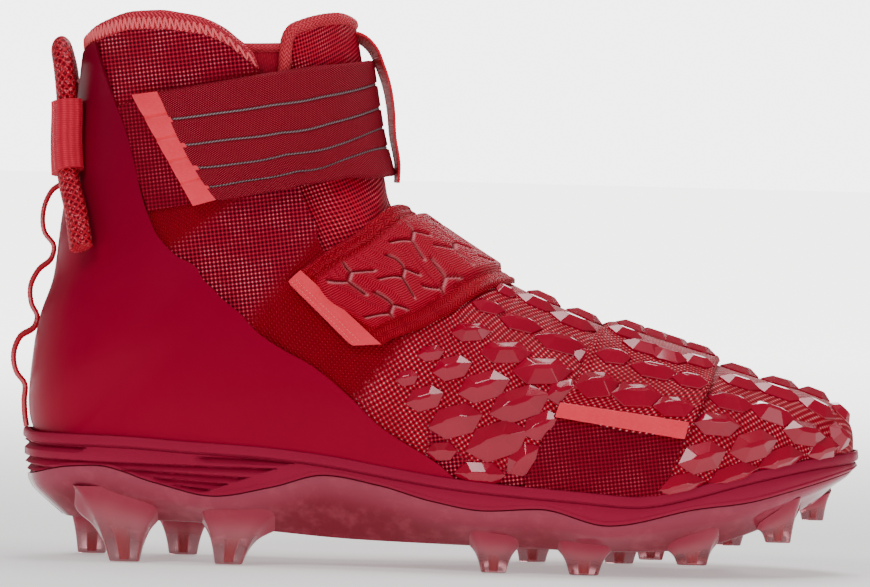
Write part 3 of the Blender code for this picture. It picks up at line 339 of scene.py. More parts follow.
# Ribbons and the rope: points in the shoe's long plane, as shares of SHOE_LENGTH and COLLAR_HEIGHT
TONGUE_PULL = (
    # along, height
    (0.3790, 0.958),
    (0.3870, 0.958),
    (0.3945, 0.953),
    (0.4050, 0.938),
    (0.4155, 0.905),
    (0.4237, 0.870),
    (0.4290, 0.828),
    (0.4322, 0.779),
    (0.4385, 0.728),
    (0.4385, 0.695),
)
PULL_WIDTH = 0.012
RIBBON = 0.0009
RIB_PITCH = 0.0013
HEEL_TAPE = (
    # along, height
    (0.0405, 0.705),
    (0.0398, 0.685),
    (0.0250, 0.665),
    (0.0155, 0.630),
    (0.0171, 0.590),
    (0.0290, 0.563),
    (0.0262, 0.542),
    (0.0112, 0.520),
    (0.0020, 0.490),
    (0.0039, 0.457),
    (0.0108, 0.435),
    (0.0080, 0.417),
    (-0.0092, 0.397),
    (-0.0165, 0.365),
    (-0.0125, 0.333),
    (-0.0025, 0.312),
    (-0.0025, 0.280),
    (-0.0008, 0.250),
    (0.0012, 0.2340),
)
TAPE_WIDTH = 0.006
ROPE_PATH = (
    # along, off centre as a share of BALL_WIDTH, height
    (0.0690, 0.3000, 0.565),
    (0.0600, 0.2480, 0.635),
    (0.0495, 0.1850, 0.692),
    (0.0460, 0.1580, 0.750),
    (0.0450, 0.1400, 0.825),
    (0.0400, 0.1180, 0.888),
    (0.0355, 0.0620, 0.918),
    (0.0345, 0.0000, 0.923),
)
ROPE_WIDTH = 0.0095
ROPE_THICKNESS = 0.0070
ROPE_BACK = 0.0007
BRAID_PITCH = 0.0026
BRAID_STRANDS = 9.0
SLEEVE_SPAN = (0.700, 0.830)
SLEEVE_WALL = 0.0012

THROAT_STATION = 13.0
THROAT_SHARE = 0.4
CENTRE = np.array((CENTRE_ALONG, CENTRE_ACROSS, 0.0))

# Lines and forms


def unit(vectors):
    """The directions of vectors."""
    return vectors / np.linalg.norm(vectors, axis=-1, keepdims=True)


def lengths_along(path):
    """The length from the start of a path to each of its points."""
    return np.concatenate(([0.0], np.cumsum(np.linalg.norm(np.diff(path, axis=0), axis=1))))


def smooth_line(t, start, end, start_slope, end_slope):
    """Points a share t of the way from start to end, on a line with given slopes at both."""
    first = (2 * t**3 - 3 * t**2 + 1) * start + (t**3 - 2 * t**2 + t) * start_slope
    return first + ((3 * t**2 - 2 * t**3) * end + (t**3 - t**2) * end_slope)


def between(corners, a, b):
    """Places between four corners: a goes from the first to the second, b on to the fourth and third."""
    a, b = a[:, None], b[:, None]
    top = corners[0] * (1 - a) + corners[1] * a
    low = corners[3] * (1 - a) + corners[2] * a
    return top * (1 - b) + low * b


def curve(table, places):
    """Rows of a table at places along its first column, on a smooth curve that never overshoots its rows."""
    rows = np.asarray(table, float)
    places = np.atleast_1d(np.asarray(places, float))
    knots = rows[:, 0]
    steps = np.diff(knots)
    secants = np.diff(rows, axis=0) / steps[:, None]
    before, after = secants[:-1], secants[1:]
    same_way = before * after > 0.0
    total = np.where(same_way, before + after, 1.0)
    slopes = np.empty_like(rows)
    slopes[0], slopes[-1] = secants[0], secants[-1]
    slopes[1:-1] = np.where(same_way, 2.0 * before * after / total, 0.0)
    places = np.clip(places, knots[0], knots[-1])
    i = np.clip(np.searchsorted(knots, places, side="right") - 1, 0, len(knots) - 2)
    step = steps[i][:, None]
    t = (places - knots[i])[:, None] / step
    return smooth_line(t, rows[i], rows[i + 1], step * slopes[i], step * slopes[i + 1])


def half_girth(low, high, edge, widest_y, widest, throat, fullness, power, count):
    """One side of a station from its low point to its high point, with its share of the girth at each point.

    The share is 1 at the low point, THROAT_SHARE at the throat's edge and 0 at the ridge.
    """
    angle = np.linspace(0.0, math.pi / 2, count)
    crest = high[1]
    low_part = widest * (1.0 - np.cos(angle))
    low_y = edge + (widest_y - edge) * np.sin(angle) ** power
    high_part = widest + (1.0 - widest) * np.sin(angle) ** (2.0 / fullness)
    high_y = crest + (widest_y - crest) * np.cos(angle) ** (2.0 / fullness)
    part = np.concatenate((low_part, high_part[1:]))
    across = np.concatenate((low_y, high_y[1:]))
    points = np.column_stack((low[0] + (high[0] - low[0]) * part, across, low[2] + (high[2] - low[2]) * part))
    length = lengths_along(points) + np.arange(len(points)) * 1e-12
    to_throat = np.interp(throat, part, length)
    share = np.where(
        length < to_throat,
        1.0 - (1.0 - THROAT_SHARE) * length / to_throat,
        THROAT_SHARE * (length[-1] - length) / (length[-1] - to_throat),
    )
    return points, share


def form_points(station, shares):
    """Points of the form at one station, for girth shares from -1 through 0 to 1."""
    low = curve(LOW_LINE, station)[0]
    high = curve(HIGH_LINE, station)[0]
    girth = curve(GIRTH, station)[0]
    tuck = TUCK if station <= HEEL_STATION else 0.0
    low_z = low[2] * COLLAR_HEIGHT - tuck
    power = curve(ROUNDNESS, station)[0, 1]
    top = np.array((high[1] * SHOE_LENGTH, high[3] * BALL_WIDTH, high[2] * COLLAR_HEIGHT))
    base = np.array((low[1] * SHOE_LENGTH, 0.0, low_z))
    found = np.empty((len(shares), 3))
    for side, edge, widest_y in ((-1.0, -low[3], -girth[1]), (1.0, low[4], girth[2])):
        points, share = half_girth(base, top, edge * BALL_WIDTH, widest_y * BALL_WIDTH, *girth[3:6], power, 60)
        chosen = shares * side >= 0.0
        for axis in range(3):
            found[chosen, axis] = np.interp(np.abs(shares[chosen]), share[::-1], points[::-1, axis])
    return found


def collar_station(share):
    """How high up the stations the collar's edge lies at a girth share."""
    from_spine = (1.0 - abs(share)) / (1.0 - THROAT_SHARE)
    return curve(COLLAR_LINE, min(max(from_spine, 0.0), 1.0))[0, 1]


class Form:
    """The form of the upper as a fine grid of points and outward directions, centred as the solids are."""

    ROWS = 372
    COLUMNS = 160
    TOP = 31.0

    def __init__(self):
        self.stations = np.linspace(0.0, self.TOP, self.ROWS + 1)
        self.shares = np.linspace(-1.0, 1.0, self.COLUMNS + 1)
        self.points = np.array([form_points(station, self.shares) for station in self.stations]) - CENTRE
        self.points[0] = self.points[0, 0]
        heel = (self.stations > 18.2) & (self.stations < 22.5)
        for _ in range(60):
            even = self.points.copy()
            even[1:-1] = (self.points[2:] + self.points[:-2]) / 2.0
            self.points[heel] = even[heel]
        closed = self.stations >= HEEL_STATION
        self.points[closed, 0, 1] = -CENTRE_ACROSS
        self.points[closed, -1, 1] = -CENTRE_ACROSS
        self.normals = self.find_normals(closed)
        steps = np.linalg.norm(np.diff(self.points, axis=0), axis=2)
        self.along = np.concatenate((np.zeros((1, self.COLUMNS + 1)), np.cumsum(steps, axis=0)))
        steps = np.linalg.norm(np.diff(self.points, axis=1), axis=2)
        self.around = np.concatenate((np.zeros((self.ROWS + 1, 1)), np.cumsum(steps, axis=1)), axis=1)
        self.around -= self.around[:, [self.COLUMNS // 2]]
        self.make_tree()

    def find_normals(self, closed):
        """Outward directions of the grid, evened out and the same on both sides of the heel's seam."""
        down = np.gradient(self.points, axis=0)
        across = np.gradient(self.points, axis=1)
        normals = np.cross(across, down)
        if normals[60, self.COLUMNS // 2, 2] < 0.0:
            normals = -normals
        normals /= np.maximum(np.linalg.norm(normals, axis=2), 1e-12)[:, :, None]
        normals[0] = (0.95, 0.0, 0.30)
        for _ in range(6):
            around = normals.copy()
            around[1:-1] += normals[2:] + normals[:-2]
            around[:, 1:-1] += normals[:, 2:] + normals[:, :-2]
            normals = around
            both = normals[closed, 0] + normals[closed, -1]
            both[:, 1] = 0.0
            normals[closed, 0] = both
            normals[closed, -1] = both
            normals /= np.maximum(np.linalg.norm(normals, axis=2), 1e-12)[:, :, None]
        return normals

    def read(self, grid, station, share):
        """Values of a grid at stations and girth shares."""
        row = np.clip(np.asarray(station, float) / self.TOP * self.ROWS, 0.0, self.ROWS - 1e-6)
        column = np.clip((np.asarray(share, float) + 1.0) / 2.0 * self.COLUMNS, 0.0, self.COLUMNS - 1e-6)
        row, column = np.broadcast_arrays(row, column)
        i, j = row.astype(int), column.astype(int)
        t, u = row - i, column - j
        if grid.ndim == 3:
            t, u = t[..., None], u[..., None]
        low = grid[i, j] * (1 - u) + grid[i, j + 1] * u
        high = grid[i + 1, j] * (1 - u) + grid[i + 1, j + 1] * u
        return low * (1 - t) + high * t

    def out(self, station, share):
        return unit(self.read(self.normals, station, share))

    def at(self, station, share, lift=0.0):
        """Points lifted off the form."""
        lift = np.asarray(lift, float)
        return self.read(self.points, station, share) + self.out(station, share) * lift[..., None]

    def lengths(self, read):
        """Lengths along and round the form at the places that read gives."""

        def found(a, b):
            station, share = read(a, b)
            return self.read(self.along, station, share), self.read(self.around, station, share)

        return found

    def make_tree(self):
        """The form as a surface that rays and nearest points can be read from."""
        width = self.COLUMNS + 1
        cells = [
            (r * width + c, (r + 1) * width + c, (r + 1) * width + c + 1, r * width + c + 1)
            for r in range(2, self.ROWS)
            for c in range(self.COLUMNS)
        ]
        skin = [tuple(point) for point in self.points.reshape(-1, 3)]
        self.tree = BVHTree.FromPolygons(skin, cells)
        vamp = np.array([8.0]), np.array([-0.5])
        facing = self.tree.find_nearest(Vector(self.at(*vamp)[0]))[1]
        if facing.dot(Vector(self.out(*vamp)[0])) < 0.0:
            self.tree = BVHTree.FromPolygons(skin, [tuple(reversed(cell)) for cell in cells])

    def hit(self, x, z):
        """Where the lateral face is met from the side, or the place nearest to it: point, facing and cell."""
        start = Vector((x - CENTRE_ALONG, -0.3, z))
        found = self.tree.ray_cast(start, Vector((0.0, 1.0, 0.0)))
        if found[0] is None:
            found = self.tree.find_nearest(start + Vector((0.0, 0.26, 0.0)))
        return found[:3]

    def from_side(self, places):
        """Points and outward directions on the lateral face, at lengths and heights."""
        hits = [self.hit(*place) for place in places]
        return np.array([hit[0][:] for hit in hits]), unit(np.array([hit[1][:] for hit in hits]))

    def find(self, x, z):
        """Station and girth share of the lateral place seen at a length and a height."""
        point, _, index = self.hit(x, z)
        r, c = 2 + index // self.COLUMNS, index % self.COLUMNS
        corner = self.points[r, c]
        sides = np.column_stack((self.points[r + 1, c] - corner, self.points[r, c + 1] - corner))
        t, u = np.linalg.lstsq(sides, np.array(point) - corner, rcond=None)[0]
        return (r + t) / self.ROWS * self.TOP, (c + u) / self.COLUMNS * 2.0 - 1.0

    def spot(self, x, z):
        """Station and girth share of the lateral grid point nearest to a length and a height."""
        half = self.shares <= 0.0
        near = self.points[:, half]
        far = (near[..., 0] + CENTRE_ALONG - x) ** 2 + (near[..., 2] - z) ** 2
        i, j = np.unravel_index(np.argmin(far), far.shape)
        return self.stations[i], self.shares[half][j]


# Working with Blender as by hand


def select_only(*items):
    """Nothing else selected, the last item active, in object mode."""
    if bpy.context.mode != "OBJECT":
        bpy.ops.object.mode_set(mode="OBJECT")
    bpy.ops.object.select_all(action="DESELECT")
    for item in items:
        item.select_set(True)
        bpy.context.view_layer.objects.active = item


def finish_modifier(piece, kind, **settings):
    """Add a modifier and apply it."""
    select_only(piece)
    bpy.ops.object.modifier_add(type=kind)
    modifier = piece.modifiers[-1]
    for name, value in settings.items():
        setattr(modifier, name, value)
    bpy.ops.object.modifier_apply(modifier=modifier.name)


def edit_whole(piece, operator, **settings):
    """Run an operator on all of a piece in edit mode."""
    select_only(piece)
    bpy.ops.object.mode_set(mode="EDIT")
    bpy.ops.mesh.select_all(action="SELECT")
    operator(**settings)
    bpy.ops.object.mode_set(mode="OBJECT")


def merge_close(piece, distance=1e-6):
    edit_whole(piece, bpy.ops.mesh.remove_doubles, threshold=distance)


def turn_outwards(piece):
    edit_whole(piece, bpy.ops.mesh.normals_make_consistent, inside=False)


def close_ends(piece, close, **settings):
    """Close the two open ends of a tube with an operator, one loop of free edges at a time."""
    select_only(piece)
    bpy.ops.object.mode_set(mode="EDIT")
    bpy.ops.mesh.select_mode(type="EDGE")
    for _ in range(2):
        bpy.ops.mesh.select_all(action="DESELECT")
        build = bmesh.from_edit_mesh(piece.data)
        free = [edge for edge in build.edges if edge.is_boundary]
        if not free:
            break
        chain, waiting = {free[0]}, [free[0]]
        while waiting:
            for vertex in waiting.pop().verts:
                for other in vertex.link_edges:
                    if other.is_boundary and other not in chain:
                        chain.add(other)
                        waiting.append(other)
        for edge in chain:
            edge.select = True
        bmesh.update_edit_mesh(piece.data)
        close(**settings)
    bpy.ops.object.mode_set(mode="OBJECT")
    turn_outwards(piece)


def delete_faces(piece, unwanted):
    """Delete the faces whose index is in a set."""
    select_only(piece)
    piece.data.polygons.foreach_set("select", [k in unwanted for k in range(len(piece.data.polygons))])
    bpy.ops.object.mode_set(mode="EDIT")
    bpy.ops.mesh.select_mode(type="FACE")
    bpy.ops.object.mode_set(mode="OBJECT")
    piece.data.polygons.foreach_set("select", [k in unwanted for k in range(len(piece.data.polygons))])
    bpy.ops.object.mode_set(mode="EDIT")
    bpy.ops.mesh.delete(type="FACE")
    bpy.ops.object.mode_set(mode="OBJECT")


def grid_sheet(name, columns, rows):
    """A flat grid one unit square, ready to be laid."""
    select_only()
    bpy.ops.mesh.primitive_grid_add(x_subdivisions=columns, y_subdivisions=rows, size=1.0)
    piece = bpy.context.active_object
    piece.name = name
    piece.data.name = name
    return piece


def fractions(piece):
    """Where each vertex of a flat grid lies, from 0 to 1 along its columns and its rows."""
    flat = np.empty(len(piece.data.vertices) * 3)
    piece.data.vertices.foreach_get("co", flat)
    return flat[0::3] + 0.5, flat[1::3] + 0.5


def own_lengths(a, b, points):
    """Lengths over a laid grid from its first column and from its middle row."""
    columns = len(np.unique(np.round(a, 5)))
    order = np.lexsort((a, b))
    grid = points[order].reshape(-1, columns, 3)
    rows = grid.shape[0]
    along = np.zeros((rows, columns))
    along[:, 1:] = np.cumsum(np.linalg.norm(np.diff(grid, axis=1), axis=2), axis=1)
    along[:] = along[rows // 2]
    across = np.zeros((rows, columns))
    across[1:] = np.cumsum(np.linalg.norm(np.diff(grid, axis=0), axis=2), axis=0)
    u, v = np.empty(len(a)), np.empty(len(a))
    u[order] = along.ravel()
    v[order] = across.ravel()
    return u, v


def write_lengths(piece, u, v):
    """A UV map that holds lengths over the piece in metres."""
    mesh = piece.data
    while mesh.uv_layers:
        mesh.uv_layers.remove(mesh.uv_layers[0])
    layer = mesh.uv_layers.new(name="lengths")
    corners = np.empty(len(mesh.loops), int)
    mesh.loops.foreach_get("vertex_index", corners)
    layer.data.foreach_set("uv", np.column_stack((u[corners], v[corners])).ravel())


def write_values(piece, name, values):
    """A value for each vertex, for a material to read."""
    attribute = piece.data.attributes.new(name, "FLOAT", "POINT")
    attribute.data.foreach_set("value", np.asarray(values, float))


def lay(piece, place, lengths=None):
    """Move each vertex of a flat grid to place(a, b), which gives points and outward directions."""
    a, b = fractions(piece)
    points, outward = place(a, b)
    piece.data.vertices.foreach_set("co", points.ravel())
    piece.data.update()
    u, v = own_lengths(a, b, points) if lengths is None else lengths(a, b)
    write_lengths(piece, u, v)
    normals = np.empty(len(points) * 3)
    piece.data.vertices.foreach_get("normal", normals)
    if np.mean(np.sum(normals.reshape(-1, 3) * outward, axis=1)) < 0.0:
        edit_whole(piece, bpy.ops.mesh.flip_normals)
    return a, b


def thicken(piece, wall, back=0, edge=0):
    """Give a sheet its wall, inwards from its face."""
    finish_modifier(
        piece, "SOLIDIFY", thickness=wall, offset=-1.0, use_even_offset=False, material_offset=back,
        material_offset_rim=edge,
    )


def smooth(piece, angle=50.0):
    select_only(piece)
    bpy.ops.object.shade_smooth_by_angle(angle=math.radians(angle))


def dress(piece, materials, replaces=()):
    """Give a finished piece its materials, its body and the solids it stands for."""
    for k, material in enumerate(materials):
        if k < len(piece.data.materials):
            piece.data.materials[k] = material
        else:
            piece.data.materials.append(material)
    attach(piece, "root")
    if replaces:
        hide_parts(*replaces)
    return piece


def joined(name, items):
    """Several meshes made one piece."""
    select_only(*items)
    bpy.ops.object.join()
    piece = bpy.context.view_layer.objects.active
    piece.name = name
    piece.data.name = name
    return piece


def polyline(points, step):
    """Points at even steps on a smooth line through points."""
    points = np.asarray(points, float)
    knots = lengths_along(points)
    slopes = np.gradient(points, knots, axis=0)
    count = max(int(round(knots[-1] / step)), 2)
    places = np.linspace(0.0, knots[-1], count + 1)
    i = np.clip(np.searchsorted(knots, places, side="right") - 1, 0, len(knots) - 2)
    span = (knots[i + 1] - knots[i])[:, None]
    t = (places - knots[i])[:, None] / span
    return smooth_line(t, points[i], points[i + 1], span * slopes[i], span * slopes[i + 1])


def directions(path):
    return unit(np.gradient(path, axis=0))


def square_to(along, rough):
    """The directions nearest to rough ones that are square to a path."""
    return unit(rough - along * np.sum(rough * along, axis=1)[:, None])


# Materials


def tint(code):
    """A colour from its hex code, as linear light."""
    parts = [int(code[k:k + 2], 16) / 255.0 for k in (1, 3, 5)]
    return tuple(c / 12.92 if c <= 0.04045 else ((c + 0.055) / 1.055) ** 2.4 for c in parts) + (1.0,)


ROSE_SHINE = (1.0, 0.22, 0.32, 1.0)


class Recipe:
    """A procedural material, put together node by node. Its spot is the place in millimetres."""

    def __init__(self, name):
        self.material = bpy.data.materials.new(name)
        self.material.use_nodes = True
        self.nodes = self.material.node_tree.nodes
        self.links = self.material.node_tree.links
        self.shader = self.nodes["Principled BSDF"]
        self.shader.inputs["Specular Tint"].default_value = ROSE_SHINE
        mapping = self.nodes.new("ShaderNodeMapping")
        mapping.inputs["Scale"].default_value = (1000.0, 1000.0, 1000.0)
        self.links.new(self.nodes.new("ShaderNodeTexCoord").outputs["Object"], mapping.inputs["Vector"])
        self.spot = mapping.outputs[0]

    def feed(self, socket, value):
        if isinstance(value, bpy.types.NodeSocket):
            self.links.new(value, socket)
        elif isinstance(value, str):
            socket.default_value = tint(value)
        else:
            socket.default_value = value

    def node(self, kind, output, values, **settings):
        node = self.nodes.new(kind)
        for name, value in settings.items():
            setattr(node, name, value)
        for name, value in values.items():
            self.feed(node.inputs[name], value)
        return node.outputs[output]

    def do(self, operation, *values):
        """A sum in millimetres or shares."""
        return self.node("ShaderNodeMath", 0, dict(enumerate(values)), operation=operation)

    def split(self, vector):
        node = self.nodes.new("ShaderNodeSeparateXYZ")
        self.links.new(vector, node.inputs[0])
        return node.outputs[0], node.outputs[1], node.outputs[2]

    def lengths(self):
        """The piece's own lengths, in millimetres."""
        u, v, _ = self.split(self.node("ShaderNodeUVMap", 0, {}, uv_map="lengths"))
        return self.do("MULTIPLY", u, 1000.0), self.do("MULTIPLY", v, 1000.0)

    def value(self, name):
        return self.node("ShaderNodeAttribute", "Fac", {}, attribute_name=name)

    def noise(self, size, detail=3.0, roughness=0.55, spot=None):
        """Soft noise whose grains are about a size in millimetres."""
        values = {"Vector": spot or self.spot, "Scale": 1.0 / size, "Detail": detail, "Roughness": roughness}
        return self.node("ShaderNodeTexNoise", 0, values)

    def wave(self, value, pitch):
        """A smooth wave from 0 to 1 with a pitch in millimetres."""
        turned = self.do("SINE", self.do("MULTIPLY", value, 2.0 * math.pi / pitch))
        return self.do("MULTIPLY_ADD", turned, 0.5, 0.5)

    def lattice(self, first, second):
        """Holes and crossings, from 0 to 1, of two sets of threads that lie one apart."""
        first, second = self.wave(first, 1.0), self.wave(second, 1.0)
        hole = self.do("MULTIPLY", self.do("SUBTRACT", 1.0, first), self.do("SUBTRACT", 1.0, second))
        return hole, self.do("MULTIPLY", first, second)

    def step(self, value, low, high, to_low=0.0, to_high=1.0):
        """A smooth step of a value between two places."""
        values = {"Value": value, "From Min": low, "From Max": high, "To Min": to_low, "To Max": to_high}
        return self.node("ShaderNodeMapRange", 0, values, interpolation_type="SMOOTHSTEP")

    def worn(self, size, low, high, detail=4.0):
        """Soft noise between two values, such as a roughness that wear has made uneven."""
        return self.step(self.noise(size, detail), 0.2, 0.8, low, high)

    def mix(self, share, first, second):
        """One colour over another."""
        node = self.nodes.new("ShaderNodeMix")
        node.data_type = "RGBA"
        self.feed(node.inputs[0], share)
        self.feed(node.inputs[6], first)
        self.feed(node.inputs[7], second)
        return node.outputs[2]

    def bump(self, height, depth, strength=1.0):
        """A relief with a depth in millimetres."""
        sockets = {"Height": height, "Distance": depth / 1000.0, "Strength": strength}
        return self.node("ShaderNodeBump", 0, sockets)

    def done(self, **values):
        for name, value in values.items():
            self.feed(self.shader.inputs[name.replace("_", " ")], value)
        return self.material


def cloth_drift(r):
    """How far rows of threads wander, in millimetres."""
    return r.do("MULTIPLY", r.noise(30.0, 1.0), 0.8)


def side_rows(r, pitch, turn, fold=0.0):
    """Two values that grow by one a row, over cloth seen from the side. Fold takes them round its front."""
    x, y, z = r.split(r.spot)
    drift = cloth_drift(r)
    u = r.do("ADD", r.do("MULTIPLY_ADD", r.do("ABSOLUTE", y), -fold, x), drift)
    v = r.do("SUBTRACT", z, drift)
    along = r.do("MULTIPLY_ADD", v, turn / pitch, r.do("DIVIDE", u, pitch))
    up = r.do("MULTIPLY_ADD", u, -turn / pitch, r.do("DIVIDE", v, pitch))
    return along, up


def vamp_finish():
    """Mesh cloth of the vamp and quarters: rows of pale eyelets, an open net and a fine knit by place."""
    r = Recipe("vamp mesh")
    u, v = r.lengths()
    drift = cloth_drift(r)
    u, v = r.do("ADD", u, drift), r.do("ADD", v, drift)
    along, across = r.do("DIVIDE", u, 2.2), r.do("DIVIDE", v, 2.4)
    hole, eyelet = r.lattice(r.do("ADD", along, across), r.do("SUBTRACT", along, across))
    dots = r.step(eyelet, 0.50, 0.85)
    cell, knot = r.lattice(*side_rows(r, 1.46, 0.14))
    net = r.step(cell, 0.22, 0.60, 1.0, 0.0)
    fine_u = r.wave(r.do("ADD", u, r.do("MULTIPLY", v, 0.5)), 1.5)
    fine_v = r.wave(r.do("SUBTRACT", v, r.do("MULTIPLY", u, 0.4)), 1.5)
    fine = r.do("MULTIPLY", fine_u, fine_v)
    soft = r.noise(9.0, 4.0)
    threads = r.do("MULTIPLY", r.step(hole, 0.30, 0.70, 1.0, 0.0), r.step(soft, 0.2, 0.8, 0.75, 1.0))
    cloth = r.mix(threads, "#58000a", "#b40826")
    eyes = r.mix(r.do("MULTIPLY", dots, r.step(soft, 0.25, 0.75, 0.35, 0.95)), cloth, "#ffb4ba")
    knots = r.do("MULTIPLY", r.step(knot, 0.55, 0.90), r.step(soft, 0.40, 0.68, 0.10, 0.85))
    netting = r.mix(net, "#34000a", r.mix(knots, "#980824", "#ff9aa4"))
    picks = r.do("MULTIPLY", r.step(fine, 0.35, 0.9), 0.70)
    knit = r.mix(picks, r.mix(soft, "#760010", "#8a0016"), "#b01c30")
    is_net = r.value("net")
    is_fine = r.value("fine")
    colour = r.mix(is_fine, r.mix(is_net, eyes, netting), knit)
    relief = r.do("MULTIPLY_ADD", is_net, r.do("SUBTRACT", net, dots), dots)
    relief = r.do("MULTIPLY_ADD", is_fine, r.do("SUBTRACT", fine, relief), relief)
    normal = r.bump(relief, 0.45, 0.9)
    return r.done(Base_Color=colour, Roughness=0.62, Normal=normal, Specular_IOR_Level=0.25)


def knit_finish(name, dark, light, speck, pitch, turn, fold, depth=0.5):
    """A coarse knit mesh with open cells."""
    r = Recipe(name)
    hole, crossing = r.lattice(*side_rows(r, pitch, turn, fold))
    body = r.step(hole, 0.22, 0.62, 1.0, 0.0)
    colour = r.mix(body, dark, light)
    patchy = r.step(r.noise(12.0, 3.0), 0.4, 0.7, 0.1, 0.8)
    colour = r.mix(r.do("MULTIPLY", r.step(crossing, 0.5, 0.95), patchy), colour, speck)
    normal = r.bump(body, depth, 0.9)
    return r.done(Base_Color=colour, Roughness=0.66, Normal=normal, Specular_IOR_Level=0.25)


def shell_finish():
    """The heel shell: satin film over foam, deep crimson, with painted shade that darkens it toward the top, and
    faint dust in its skin.
    """
    r = Recipe("heel shell")
    # Painted shade: with height the colour goes from the lighter lower tones to the darker upper ones
    height = r.step(r.split(r.spot)[2], 40.0, 190.0)
    cloud = r.noise(45.0, 3.0)
    lower = r.mix(cloud, "#900024", "#9c002c")
    upper = r.mix(cloud, "#70001e", "#7c0024")
    grain = r.noise(0.6, 4.0, 0.7)
    speck = r.step(r.noise(0.35, 2.0), 0.70, 0.80)
    colour = r.mix(r.do("MULTIPLY", speck, 0.25), r.mix(height, lower, upper), "#b01838")
    normal = r.bump(grain, 0.05, 0.3)
    return r.done(Base_Color=colour, Roughness=r.worn(8.0, 0.34, 0.44, 5.0), Normal=normal, Specular_IOR_Level=0.30)


def lug_finish():
    """Moulded lugs: glossy clear red, its tone varying softly from place to place."""
    r = Recipe("moulded lug")
    cloud = r.noise(18.0, 3.0)
    colour = r.mix(cloud, "#960022", "#ae0630")
    normal = r.bump(r.noise(2.5, 2.0), 0.05, 0.3)
    return r.done(
        Base_Color=colour, Roughness=r.worn(3.0, 0.13, 0.22), Normal=normal, Coat_Weight=0.8, Coat_Roughness=0.03,
        Specular_IOR_Level=0.3,
    )


def elastic_finish():
    """Elastic band: a fine twill with pale cross threads."""
    r = Recipe("elastic twill")
    u, v = r.lengths()
    diagonal = r.wave(r.do("ADD", u, v), 1.05)
    cross = r.wave(r.do("SUBTRACT", u, r.do("MULTIPLY", v, 1.9)), 1.25)
    weave = r.do("MULTIPLY", diagonal, cross)
    soft = r.noise(6.0, 4.0)
    colour = r.mix(r.step(weave, 0.1, 0.55), "#6a0012", r.mix(soft, "#ac0c28", "#c01436"))
    colour = r.mix(r.do("MULTIPLY", r.step(weave, 0.62, 0.98), 0.6), colour, "#e87a86")
    normal = r.bump(weave, 0.30, 0.8)
    return r.done(Base_Color=colour, Roughness=0.58, Normal=normal, Specular_IOR_Level=0.25)


def groove_finish():
    """Grey cord between the elastic bands."""
    r = Recipe("groove cord")
    u, v = r.lengths()
    twist = r.wave(r.do("ADD", u, r.do("MULTIPLY", v, 1.4)), 1.2)
    colour = r.mix(twist, "#4a3036", "#b4a6aa")
    colour = r.mix(r.step(r.noise(3.0), 0.60, 0.80, 0.0, 0.5), colour, "#7c444c")
    return r.done(Base_Color=colour, Roughness=0.5, Normal=r.bump(twist, 0.25, 0.8))


def pad_finish():
    """Ribbed cloth over foam, the ribs along the strap, with painted shade in the pressed channels and a painted
    highlight along one side of each.
    """
    r = Recipe("ribbed pad cloth")
    u, v = r.lengths()
    rib = r.wave(v, 0.95)
    pick = r.wave(u, 0.7)
    soft = r.noise(10.0, 4.0)
    base = r.mix(soft, "#c40c30", "#dc2044")
    colour = r.mix(r.do("MULTIPLY", rib, r.do("MULTIPLY_ADD", pick, 0.3, 0.7)), "#880010", base)
    # Painted shade: the pressed channels are darkened
    colour = r.mix(r.do("MULTIPLY", r.value("groove"), 0.8), colour, "#74000c")
    # Painted highlight: a pale band beside one side of each channel, where light catches its lip
    colour = r.mix(r.do("MULTIPLY", r.value("lip"), r.step(pick, 0.2, 0.8, 0.6, 1.0)), colour, "#ffa4ac")
    relief = r.do("MULTIPLY_ADD", pick, 0.25, rib)
    normal = r.bump(relief, 0.28, 0.8)
    return r.done(Base_Color=colour, Roughness=0.55, Normal=normal, Specular_IOR_Level=0.25)


def tape_finish(name, dark, light, pitch=1.1, depth=0.35):
    """Knitted edge tape: chevrons across its width."""
    r = Recipe(name)
    u, v = r.lengths()
    fold = r.do("PINGPONG", v, 1.6)
    chevron = r.wave(r.do("ADD", u, fold), pitch)
    rows = r.wave(v, 3.2)
    soft = r.noise(4.0, 4.0)
    colour = r.mix(r.do("MULTIPLY", chevron, r.step(soft, 0.2, 0.8, 0.6, 1.0)), dark, light)
    normal = r.bump(r.do("MULTIPLY_ADD", rows, 0.5, chevron), depth, 0.85)
    return r.done(Base_Color=colour, Roughness=0.6, Normal=normal, Specular_IOR_Level=0.25)


def tab_finish():
    """Coral film on the pull tabs: satin, brushed by its backing cloth."""
    r = Recipe("tab film")
    u, v = r.lengths()
    along_fibres = r.node("ShaderNodeCombineXYZ", 0, {0: r.do("MULTIPLY", u, 0.25), 1: v})
    brushed = r.noise(0.35, 4.0, 0.6, along_fibres)
    cloud = r.noise(7.0, 3.0)
    colour = r.mix(cloud, "#f43044", "#ff4456")
    colour = r.mix(r.do("MULTIPLY", r.step(brushed, 0.45, 0.75), 0.35), colour, "#ff6a70")
    return r.done(Base_Color=colour, Roughness=0.36, Normal=r.bump(brushed, 0.10, 0.5))


def sole_finish():
    """The midsole frame: satin rose-red plastic with a fine spark grain."""
    r = Recipe("sole frame")
    cloud = r.noise(35.0, 3.0)
    colour = r.mix(cloud, "#901434", "#9a1c3c")
    grain = r.noise(0.45, 3.0, 0.7)
    colour = r.mix(r.do("MULTIPLY", r.step(grain, 0.55, 0.8), 0.25), colour, "#b83c52")
    scuff = r.step(r.noise(2.2, 5.0, 0.7), 0.62, 0.80, 0.0, 0.18)
    colour = r.mix(scuff, colour, "#c05060")
    normal = r.bump(grain, 0.08, 0.5)
    return r.done(Base_Color=colour, Roughness=r.worn(6.0, 0.40, 0.52), Normal=normal, Specular_IOR_Level=0.35)


